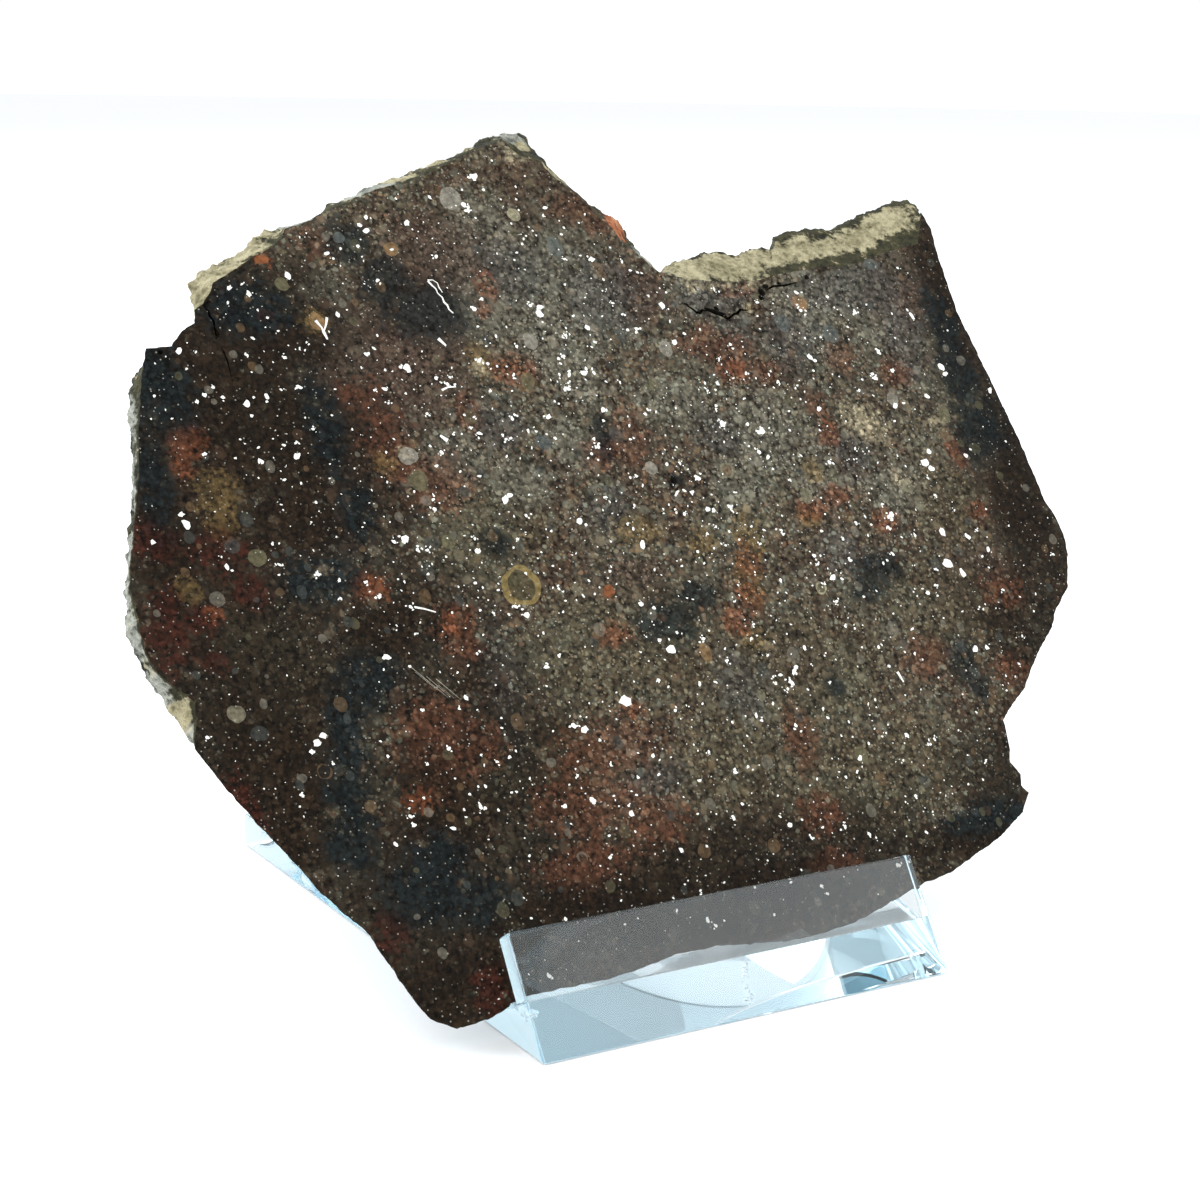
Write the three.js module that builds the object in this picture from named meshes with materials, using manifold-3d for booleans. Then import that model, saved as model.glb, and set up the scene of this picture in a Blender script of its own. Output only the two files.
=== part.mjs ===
// A sawn and polished part slice of a chondrite meteorite, leaning on a small clear acrylic easel.
// Millimetres, +Z up, +X to the right seen from the front, +Y to the back.
// The origin is the middle of the easel's foot, on the table.

import * as THREE from 'three';
import { mergeVertices } from 'three/addons/utils/BufferGeometryUtils.js';
import Module from 'manifold-3d';

const wasm = await Module();
wasm.setup();

// Driving dimensions of the easel
const leanDegrees = 33.5;
const baseWidth = 50;
const baseDepth = 75;
const baseThickness = 4;
const lipReach = 13.5;
const lipThickness = 2.5;
const restReach = 62;
const restThickness = 3;
const restWidth = 50;
const polishedEdge = 0.3;

// Driving dimensions of the slice
const sliceThickness = 4;
const outlineStep = 1.5;
const edgeChipping = 0.16;
const rimRoughness = 0.38;
const hollowing = 0.25;

// Pieces that touch keep this much air between them
const contactGap = 0.3;

// The slope frame starts on the stand's front bottom edge: x to the right, y into the slab
// at right angles to the lean, z up the slope.
const lean = THREE.MathUtils.degToRad(leanDegrees);
const sliceFront = lipThickness + contactGap;
const restFront = sliceFront + sliceThickness + contactGap;

// The natural side walls run to the right and upwards as they go back, in mm for each mm of depth.
// Walls that are undercut by this run in a little further, and walls that overhang the back a little less.
const wallDrift = { x: 0.61, z: 0.33 };
const undercutDrift = 1.12;
const overhangDrift = 0.85;

// Edge of the sawn face, clockwise seen from the front, as [x, z] in the slope frame.
// Where the natural crust slopes away from the face before it drops behind,
// two more numbers give the outer rim of that crust.
const faceEdge = [
  // broken step at the upper left
  [-46.4, 80.5], [-43.6, 80.6], [-42.1, 82.3], [-40.5, 83.1], [-40.2, 84.6, -40.4, 84.9],
  // pale crust on the upper left shoulder
  [-39, 85.3, -40.7, 86.6], [-38.1, 86.6, -40.4, 88], [-37.3, 87.8, -39.1, 89.2],
  [-35.4, 88.8, -37.5, 90.1], [-33.7, 89.7, -34.5, 91.2], [-32, 90.7, -32.9, 92.4],
  [-30.1, 91.5, -30.8, 94], [-28.6, 92.5, -29.1, 94.3], [-27.6, 93.9, -27.8, 94.4],
  // long upper left side with a thin rim of crust, rising to the peak
  [-24.3, 94.9, -24.4, 95.2], [-21.8, 96.2, -21.9, 96.9], [-19.1, 96.9, -19.3, 97.9],
  [-16.9, 98, -17.1, 99.1], [-14.8, 98.8, -15, 100], [-11.3, 99.4, -11.5, 100.7], [-7.2, 101, -7.4, 102.4],
  [-4.5, 102.2, -4.6, 103.2], [-1.6, 103.5, -1.7, 104.4], [1.2, 104.4, 1.1, 105.6],
  // peak with a small broken facet
  [2.4, 104.8, 2.7, 106.2], [3.2, 103.6, 4.9, 106.4], [4, 102.7, 5.7, 105.7], [5.3, 102.2, 6.1, 104.3],
  // long side falling to the notch, with a chip in its crust
  [6.4, 102, 6.8, 102.9], [7.7, 99.8, 8.2, 100.6], [10.1, 97.5, 10.4, 98.1], [11.3, 96, 11.6, 96.7],
  [12.3, 94.3, 12.9, 95.4], [13.6, 92.9, 14.7, 94.3], [14.3, 91.2, 15.1, 92], [16.6, 88.6, 16.8, 89.2],
  [18.1, 86.8, 18.3, 87.3],
  // broad pale crust right of the notch
  [20.3, 86.3, 20.8, 88.6], [22, 85.9, 22.8, 88.8], [24.2, 85.6, 25.2, 89.5], [26.3, 85.4, 27.2, 89.8],
  [28.8, 85.3, 29.8, 89.3], [31.3, 85.3, 32.2, 90.1], [33.4, 85.8, 35.2, 90], [35.4, 86.2, 36.2, 91.3],
  [38, 86.4, 39, 92.1], [40.4, 86.7, 41.3, 92.5], [44.1, 86.8, 44.7, 92.3], [48.1, 87.3, 49.2, 93.9],
  [51.3, 88.4, 52.7, 94.9], [54.5, 89, 56.2, 96.1], [57.2, 89.5, 58.4, 96.3], [58.4, 91.6, 59.5, 95.5],
  // right side
  [59.5, 93.9], [60.1, 91.4], [59.7, 87.3], [59.7, 79.8], [60.8, 72.9], [61.4, 68.7],
  [62.4, 61.8], [63.1, 53.7], [63.9, 51.3], [64.2, 49], [63.7, 46.3], [61.9, 42.1], [59.1, 39.7],
  [57.5, 37.5], [53.8, 34.4], [50.3, 30.5], [46.9, 28.2], [45.8, 27.2],
  // lower right lobe below the side notch
  [45.4, 24], [44.8, 22.2], [45.6, 20.6], [45.3, 19.3], [45.9, 18.3], [44.2, 16.2], [39.8, 13.8], [36.5, 12.7],
  [31.6, 11], [27.5, 10.4],
  // underside, standing on the easel's base in two places
  [19.4, 8.3], [16, 7.5], [12.3, 7.2], [8, 7.1], [3.1, 7.6], [-0.9, 8.1], [-6.2, 8.1],
  [-10.6, 7.4], [-14.6, 7.1], [-20, 7.1], [-23.9, 7.1],
  // lower left lobe, beside the base
  [-25.6, 6.6], [-26.9, 6.1], [-28.9, 5.8], [-30.6, 5.6], [-31.7, 5.6], [-32.9, 6.3], [-34.2, 7.1],
  [-35.1, 8.5], [-35.8, 10.1], [-37.3, 13.6], [-38.2, 16.2], [-39.8, 18.2], [-42.2, 21.3], [-43.6, 23.9],
  [-46.4, 28.3], [-49.1, 32.9], [-51.3, 37.3],
  // lower left corner with a strip of pale crust
  [-51.1, 38.3, -52.4, 38.6], [-50.5, 40, -53.1, 40.3], [-50.2, 42, -54.2, 42.8], [-51.7, 43.7, -54.6, 44.2],
  [-53.4, 45.6, -55, 45.4], [-53.9, 47.5, -55.3, 47.3], [-54, 49.7, -56, 49.6], [-53.9, 51.8, -55.6, 52.1],
  // left side, where a thin edge of crust shows
  [-54, 54.6, -55, 54.6], [-53.2, 57.5, -54.2, 57.5], [-52.5, 59.5, -53.5, 59.5], [-51.5, 63, -52.5, 63],
  [-50.3, 66.8, -51.5, 66.9], [-49.4, 70.9, -50.8, 71], [-48.6, 73.9, -50.2, 74], [-47.6, 77.3, -49, 77.4],
];

// How far down the rim each ring of points lies, as a share of the thickness.
const rimStations = [0, 0.1, 0.28, 0.5, 0.7, 0.87, 1];

// Share of the crust's slope that is complete at each depth, with its rim reached before the back face.
const crustRimShare = 0.75;
const crustSlope = (share) => Math.sin(Math.min(1, share / crustRimShare) * Math.PI / 2);

// Smooth repeatable unevenness between -1 and 1, with a wavelength of a few millimetres.
function unevenness(x, y, z) {
  const broad = Math.sin(0.9 * x + 1.3 * Math.sin(0.37 * z)) * Math.cos(0.8 * z - 0.9 * y);
  const fine = Math.sin(2.3 * x - 1.7 * z + 2.1 * y) * Math.cos(1.9 * z + 0.6 * x);
  const sharp = Math.sin(4.1 * z + 3.3 * x + 4.7 * y);
  return 0.5 * broad + 0.32 * fine + 0.18 * sharp;
}

// The edge list as evenly spaced points, each with its face point and its crust rim point.
function outlinePoints() {
  const points = [];
  faceEdge.forEach((start, index) => {
    const end = faceEdge[(index + 1) % faceEdge.length];
    const [x0, z0, rimX0 = x0, rimZ0 = z0] = start;
    const [x1, z1, rimX1 = x1, rimZ1 = z1] = end;
    const longest = Math.max(Math.hypot(x1 - x0, z1 - z0), Math.hypot(rimX1 - rimX0, rimZ1 - rimZ0));
    const steps = Math.max(1, Math.round(longest / outlineStep));
    for (let step = 0; step < steps; step += 1) {
      const share = step / steps;
      const face = new THREE.Vector2(x0 + (x1 - x0) * share, z0 + (z1 - z0) * share);
      const rim = new THREE.Vector2(rimX0 + (rimX1 - rimX0) * share, rimZ0 + (rimZ1 - rimZ0) * share);
      points.push({ face, rim, crust: Math.min(1, face.distanceTo(rim)) });
    }
  });
  return points;
}

// Outward directions, averaged over a few neighbours so that jags don't cross.
function outwardDirections(points) {
  const reach = 2;
  return points.map((point, index) => {
    const before = points[(index - reach + points.length) % points.length].rim;
    const after = points[(index + reach) % points.length].rim;
    return new THREE.Vector2(before.y - after.y, after.x - before.x).normalize();
  });
}

// Closed body of the slice: two sawn faces joined by rings that follow the natural rim.
function sliceGeometry() {
  const points = outlinePoints();
  const outward = outwardDirections(points);
  const count = points.length;
  const positions = [];
  const backDrift = (direction, crust) => {
    const undercut = direction.x * wallDrift.x + direction.y * wallDrift.z < 0;
    return THREE.MathUtils.lerp(undercut ? undercutDrift : overhangDrift, 1, crust);
  };
  rimStations.forEach((station) => {
    const depth = station * sliceThickness;
    const middle = Math.sin(Math.PI * station);
    points.forEach(({ face, rim, crust }, index) => {
      const direction = outward[index];
      const drift = depth * backDrift(direction, crust);
      const x = face.x + (rim.x - face.x) * crustSlope(station) + wallDrift.x * drift;
      const z = face.y + (rim.y - face.y) * crustSlope(station) + wallDrift.z * drift;
      const chips = edgeChipping * unevenness(x * 1.7, 0, z * 1.7);
      const lumps = rimRoughness * middle * (unevenness(x, depth, z) - hollowing * (1 - crust));
      positions.push(x + direction.x * (chips + lumps), depth, z + direction.y * (chips + lumps));
    });
  });
  const indices = [];
  for (let ring = 0; ring < rimStations.length - 1; ring += 1) {
    for (let index = 0; index < count; index += 1) {
      const next = (index + 1) % count;
      const a = ring * count + index;
      const b = ring * count + next;
      const c = a + count;
      const d = b + count;
      indices.push(a, b, c, b, d, c);
    }
  }
  const ringOutline = (ring) => points.map((point, index) => {
    const start = 3 * (ring * count + index);
    return new THREE.Vector2(positions[start], positions[start + 2]);
  });
  const lastRing = rimStations.length - 1;
  THREE.ShapeUtils.triangulateShape(ringOutline(0), []).forEach(([a, b, c]) => {
    indices.push(a, b, c);
  });
  THREE.ShapeUtils.triangulateShape(ringOutline(lastRing), []).forEach(([a, b, c]) => {
    indices.push(lastRing * count + a, lastRing * count + c, lastRing * count + b);
  });
  const geometry = new THREE.BufferGeometry();
  geometry.setAttribute('position', new THREE.Float32BufferAttribute(positions, 3));
  geometry.setIndex(indices);
  return geometry;
}

// Geometry to solid and back, for the one cut that the slice needs.
function toSolid(geometry) {
  const bare = geometry.clone();
  bare.deleteAttribute('normal');
  bare.deleteAttribute('uv');
  const merged = mergeVertices(bare, 1e-5);
  return new wasm.Manifold(new wasm.Mesh({
    numProp: 3,
    vertProperties: new Float32Array(merged.attributes.position.array),
    triVerts: new Uint32Array(merged.index.array),
  }));
}

function toGeometry(solid) {
  const mesh = solid.getMesh();
  const geometry = new THREE.BufferGeometry();
  geometry.setAttribute('position', new THREE.BufferAttribute(new Float32Array(mesh.vertProperties), 3));
  geometry.setIndex(new THREE.BufferAttribute(new Uint32Array(mesh.triVerts), 1));
  return geometry;
}

// Extrusion of an outline in the Y-Z plane along X, centred on X = 0, with its edges eased as polished acrylic is.
function sideExtrusion(corners, width) {
  const shape = new THREE.Shape(corners.map(([y, z]) => new THREE.Vector2(y, z)));
  const geometry = new THREE.ExtrudeGeometry(shape, {
    depth: width - 2 * polishedEdge,
    bevelEnabled: true,
    bevelThickness: polishedEdge,
    bevelSize: polishedEdge,
    bevelOffset: -polishedEdge,
    bevelSegments: 2,
    curveSegments: 1,
  });
  geometry.translate(0, 0, -width / 2 + polishedEdge);
  const toSide = new THREE.Matrix4().makeBasis(
    new THREE.Vector3(0, 1, 0), new THREE.Vector3(0, 0, 1), new THREE.Vector3(1, 0, 0));
  return geometry.applyMatrix4(toSide);
}

// Acrylic and stone as they look from a step away
const acrylic = (color) => new THREE.MeshStandardMaterial({ color, roughness: 0.05, metalness: 0 });
const stone = new THREE.MeshStandardMaterial({ color: 0x4a3f38, roughness: 0.35, metalness: 0 });

const easel = new THREE.Group();
easel.position.set(0, -baseDepth / 2, 0);

const slope = new THREE.Group();
slope.rotation.x = -lean;
easel.add(slope);

// Where a plane parallel to the lean, at this depth behind the front plane, meets this height.
const slopeToSide = (depth, reach) => [
  reach * Math.sin(lean) + depth * Math.cos(lean),
  reach * Math.cos(lean) - depth * Math.sin(lean),
];
const sideAtHeight = (depth, height) => {
  const reach = (height + depth * Math.sin(lean)) / Math.cos(lean);
  return slopeToSide(depth, reach);
};

const base = new THREE.Mesh(sideExtrusion([
  [0, 0], [baseDepth, 0], [baseDepth, baseThickness], sideAtHeight(0, baseThickness),
], baseWidth), acrylic(0xcfe4f2));
base.name = 'easel_base';
easel.add(base);

const footing = baseThickness + contactGap;

const lip = new THREE.Mesh(sideExtrusion([
  sideAtHeight(0, footing), sideAtHeight(lipThickness, footing),
  slopeToSide(lipThickness, lipReach), slopeToSide(0, lipReach),
], baseWidth), acrylic(0xdbeaf4));
lip.name = 'easel_front_lip';
easel.add(lip);

const rest = new THREE.Mesh(sideExtrusion([
  sideAtHeight(restFront, footing), sideAtHeight(restFront + restThickness, footing),
  slopeToSide(restFront + restThickness, restReach), slopeToSide(restFront, restReach),
], restWidth), acrylic(0xd3e2ee));
rest.name = 'easel_back_rest';
easel.add(rest);

// The underside is flat where it stands on the base, so the base with its gap is cut out of it.
const standingRoom = new THREE.BoxGeometry(
  baseWidth + 2 * contactGap, baseDepth + 2 * contactGap, baseThickness + 2 * contactGap);
standingRoom.translate(0, baseDepth / 2, baseThickness / 2);
slope.updateMatrix();
standingRoom.applyMatrix4(slope.matrix.clone().invert());
standingRoom.translate(0, -sliceFront, 0);

const slice = new THREE.Mesh(toGeometry(toSolid(sliceGeometry()).subtract(toSolid(standingRoom))), stone);
slice.name = 'meteorite_slice';
slice.position.y = sliceFront;
slope.add(slice);

const chondriteOnEasel = new THREE.Group();
chondriteOnEasel.add(easel);

export default chondriteOnEasel;
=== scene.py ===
import math
import random
from functools import partial

import bmesh
import bpy
import numpy as np
from mathutils import Matrix, Vector, noise
from mathutils.geometry import delaunay_2d_cdt


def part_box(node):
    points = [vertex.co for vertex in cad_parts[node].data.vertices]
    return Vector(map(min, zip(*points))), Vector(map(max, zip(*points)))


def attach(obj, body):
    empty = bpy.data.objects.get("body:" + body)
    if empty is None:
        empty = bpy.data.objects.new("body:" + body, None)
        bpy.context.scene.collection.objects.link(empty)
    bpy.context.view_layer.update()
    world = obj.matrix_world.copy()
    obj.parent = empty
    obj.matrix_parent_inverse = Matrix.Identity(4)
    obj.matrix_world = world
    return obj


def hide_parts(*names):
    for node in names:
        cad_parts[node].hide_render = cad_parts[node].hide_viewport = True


bl_info = {
    "name": "Chondrite slice on an acrylic easel",
    "version": (1, 0, 0),
    "blender": (4, 5, 0),
    "location": "3D View > Sidebar > Chondrite",
    "description": "A polished part slice of a chondrite, its clear acrylic easel and a pale studio",
    "category": "Object",
}

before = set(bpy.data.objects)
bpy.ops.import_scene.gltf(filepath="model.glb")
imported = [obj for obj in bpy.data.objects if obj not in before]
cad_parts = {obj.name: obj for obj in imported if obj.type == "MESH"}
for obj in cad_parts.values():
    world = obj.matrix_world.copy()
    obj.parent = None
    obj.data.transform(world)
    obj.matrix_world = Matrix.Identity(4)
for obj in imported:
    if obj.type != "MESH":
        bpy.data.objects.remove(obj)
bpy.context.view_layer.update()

MM = 0.001

# Edge of the sawn face, clockwise seen from the front, in millimetres as (x, z) in the slope frame:
# x from the stand's middle, z up the slope from the stand's front bottom edge.
# Where the natural crust slopes away from the face, two more numbers give the outer rim of that crust.
FACE_EDGE = [
    # broken step at the upper left
    (-46.4, 80.5), (-43.6, 80.6), (-42.1, 82.3), (-40.5, 83.1), (-40.2, 84.6, -40.4, 84.9),
    # pale crust on the upper left shoulder
    (-39, 85.3, -40.7, 86.6), (-38.1, 86.6, -40.4, 88), (-37.3, 87.8, -39.1, 89.2),
    (-35.4, 88.8, -37.5, 90.1), (-33.7, 89.7, -34.5, 91.2), (-32, 90.7, -32.9, 92.4),
    (-30.1, 91.5, -30.8, 94), (-28.6, 92.5, -29.1, 94.3), (-27.6, 93.9, -27.8, 94.4),
    # long upper left side with a thin rim of crust, rising to the peak
    (-24.3, 94.9, -24.4, 95.2), (-21.8, 96.2, -21.9, 96.9), (-19.1, 96.9, -19.3, 97.9),
    (-16.9, 98, -17.1, 99.1), (-14.8, 98.8, -15, 100), (-11.3, 99.4, -11.5, 100.7),
    (-7.2, 101, -7.4, 102.4), (-4.5, 102.2, -4.6, 103.2), (-1.6, 103.5, -1.7, 104.4),
    (1.2, 104.4, 1.1, 105.6),
    # peak with a small broken facet
    (2.4, 104.8, 2.7, 106.2), (3.2, 103.6, 4.9, 106.4), (4, 102.7, 5.7, 105.7), (5.3, 102.2, 6.1, 104.3),
    # long side falling to the notch, with a chip in its crust
    (6.4, 102, 6.8, 102.9), (7.7, 99.8, 8.2, 100.6), (10.1, 97.5, 10.4, 98.1), (11.3, 96, 11.6, 96.7),
    (12.3, 94.3, 12.9, 95.4), (13.6, 92.9, 14.7, 94.3), (14.3, 91.2, 15.1, 92), (16.6, 88.6, 16.8, 89.2),
    (18.1, 86.8, 18.3, 87.3),
    # broad pale crust right of the notch
    (20.3, 86.3, 20.8, 88.6), (22, 85.9, 22.8, 88.8), (24.2, 85.6, 25.2, 89.5), (26.3, 85.4, 27.2, 89.8),
    (28.8, 85.3, 29.8, 89.3), (31.3, 85.3, 32.2, 90.1), (33.4, 85.8, 35.2, 90), (35.4, 86.2, 36.2, 91.3),
    (38, 86.4, 39, 92.1), (40.4, 86.7, 41.3, 92.5), (44.1, 86.8, 44.7, 92.3), (48.1, 87.3, 49.2, 93.9),
    (51.3, 88.4, 52.7, 94.9), (54.5, 89, 56.2, 96.1), (57.2, 89.5, 58.4, 96.3), (58.4, 91.6, 59.5, 95.5),
    # right side
    (59.5, 93.9), (60.1, 91.4), (59.7, 87.3), (59.7, 79.8), (60.8, 72.9), (61.4, 68.7), (62.4, 61.8),
    (63.1, 53.7), (63.9, 51.3), (64.2, 49), (63.7, 46.3), (61.9, 42.1), (59.1, 39.7), (57.5, 37.5),
    (53.8, 34.4), (50.3, 30.5), (46.9, 28.2), (45.8, 27.2),
    # lower right lobe below the side notch
    (45.4, 24), (44.8, 22.2), (45.6, 20.6), (45.3, 19.3), (45.9, 18.3), (44.2, 16.2), (39.8, 13.8),
    (36.5, 12.7), (31.6, 11), (27.5, 10.4),
    # underside, standing on the easel's base in two places
    (19.4, 8.3), (16, 7.5), (12.3, 7.2), (8, 7.1), (3.1, 7.6), (-0.9, 8.1), (-6.2, 8.1), (-10.6, 7.4),
    (-14.6, 7.1), (-20, 7.1), (-23.9, 7.1),
    # lower left lobe, beside the base
    (-25.6, 6.6), (-26.9, 6.1), (-28.9, 5.8), (-30.6, 5.6), (-31.7, 5.6), (-32.9, 6.3), (-34.2, 7.1),
    (-35.1, 8.5), (-35.8, 10.1), (-37.3, 13.6), (-38.2, 16.2), (-39.8, 18.2), (-42.2, 21.3), (-43.6, 23.9),
    (-46.4, 28.3), (-49.1, 32.9), (-51.3, 37.3),
    # lower left corner with a strip of pale crust
    (-51.1, 38.3, -52.4, 38.6), (-50.5, 40, -53.1, 40.3), (-50.2, 42, -54.2, 42.8),
    (-51.7, 43.7, -54.6, 44.2), (-53.4, 45.6, -55, 45.4), (-53.9, 47.5, -55.3, 47.3),
    (-54, 49.7, -56, 49.6), (-53.9, 51.8, -55.6, 52.1),
    # left side, where a thin edge of crust shows
    (-54, 54.6, -55, 54.6), (-53.2, 57.5, -54.2, 57.5), (-52.5, 59.5, -53.5, 59.5), (-51.5, 63, -52.5, 63),
    (-50.3, 66.8, -51.5, 66.9), (-49.4, 70.9, -50.8, 71), (-48.6, 73.9, -50.2, 74),
    (-47.6, 77.3, -49, 77.4),
]

# How the side walls run back: to the right and upwards, in mm for each mm of depth,
# a little further where they are undercut and a little less where they overhang.
# The crust reaches its outer rim at the last share of the thickness.
WALL_DRIFT = np.array((0.61, 0.33))
UNDERCUT_DRIFT = 1.12
OVERHANG_DRIFT = 0.85
CRUST_RIM_SHARE = 0.75

# Rings of the rim, as shares of the thickness. The first two make the fine edge of the polished face.
RINGS = (0, 0.02, 0.06, 0.12, 0.19, 0.27, 0.35, 0.43, 0.51, 0.59, 0.67, 0.75, 0.83, 0.91, 0.97, 1)

# Unevenness of the rim, in mm: the chips along the sawn edge, the lumps of the natural rim and the crags
# of its crust, with the crags' height and the rounding of the first two rings.
CHIP_SIZE, LUMP_SIZE, CRAG_SIZE = 1.1, 2.6, 1.1
CRAG_HEIGHT = 0.42
EDGE_ROUNDING = (0.09, 0.02)

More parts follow.
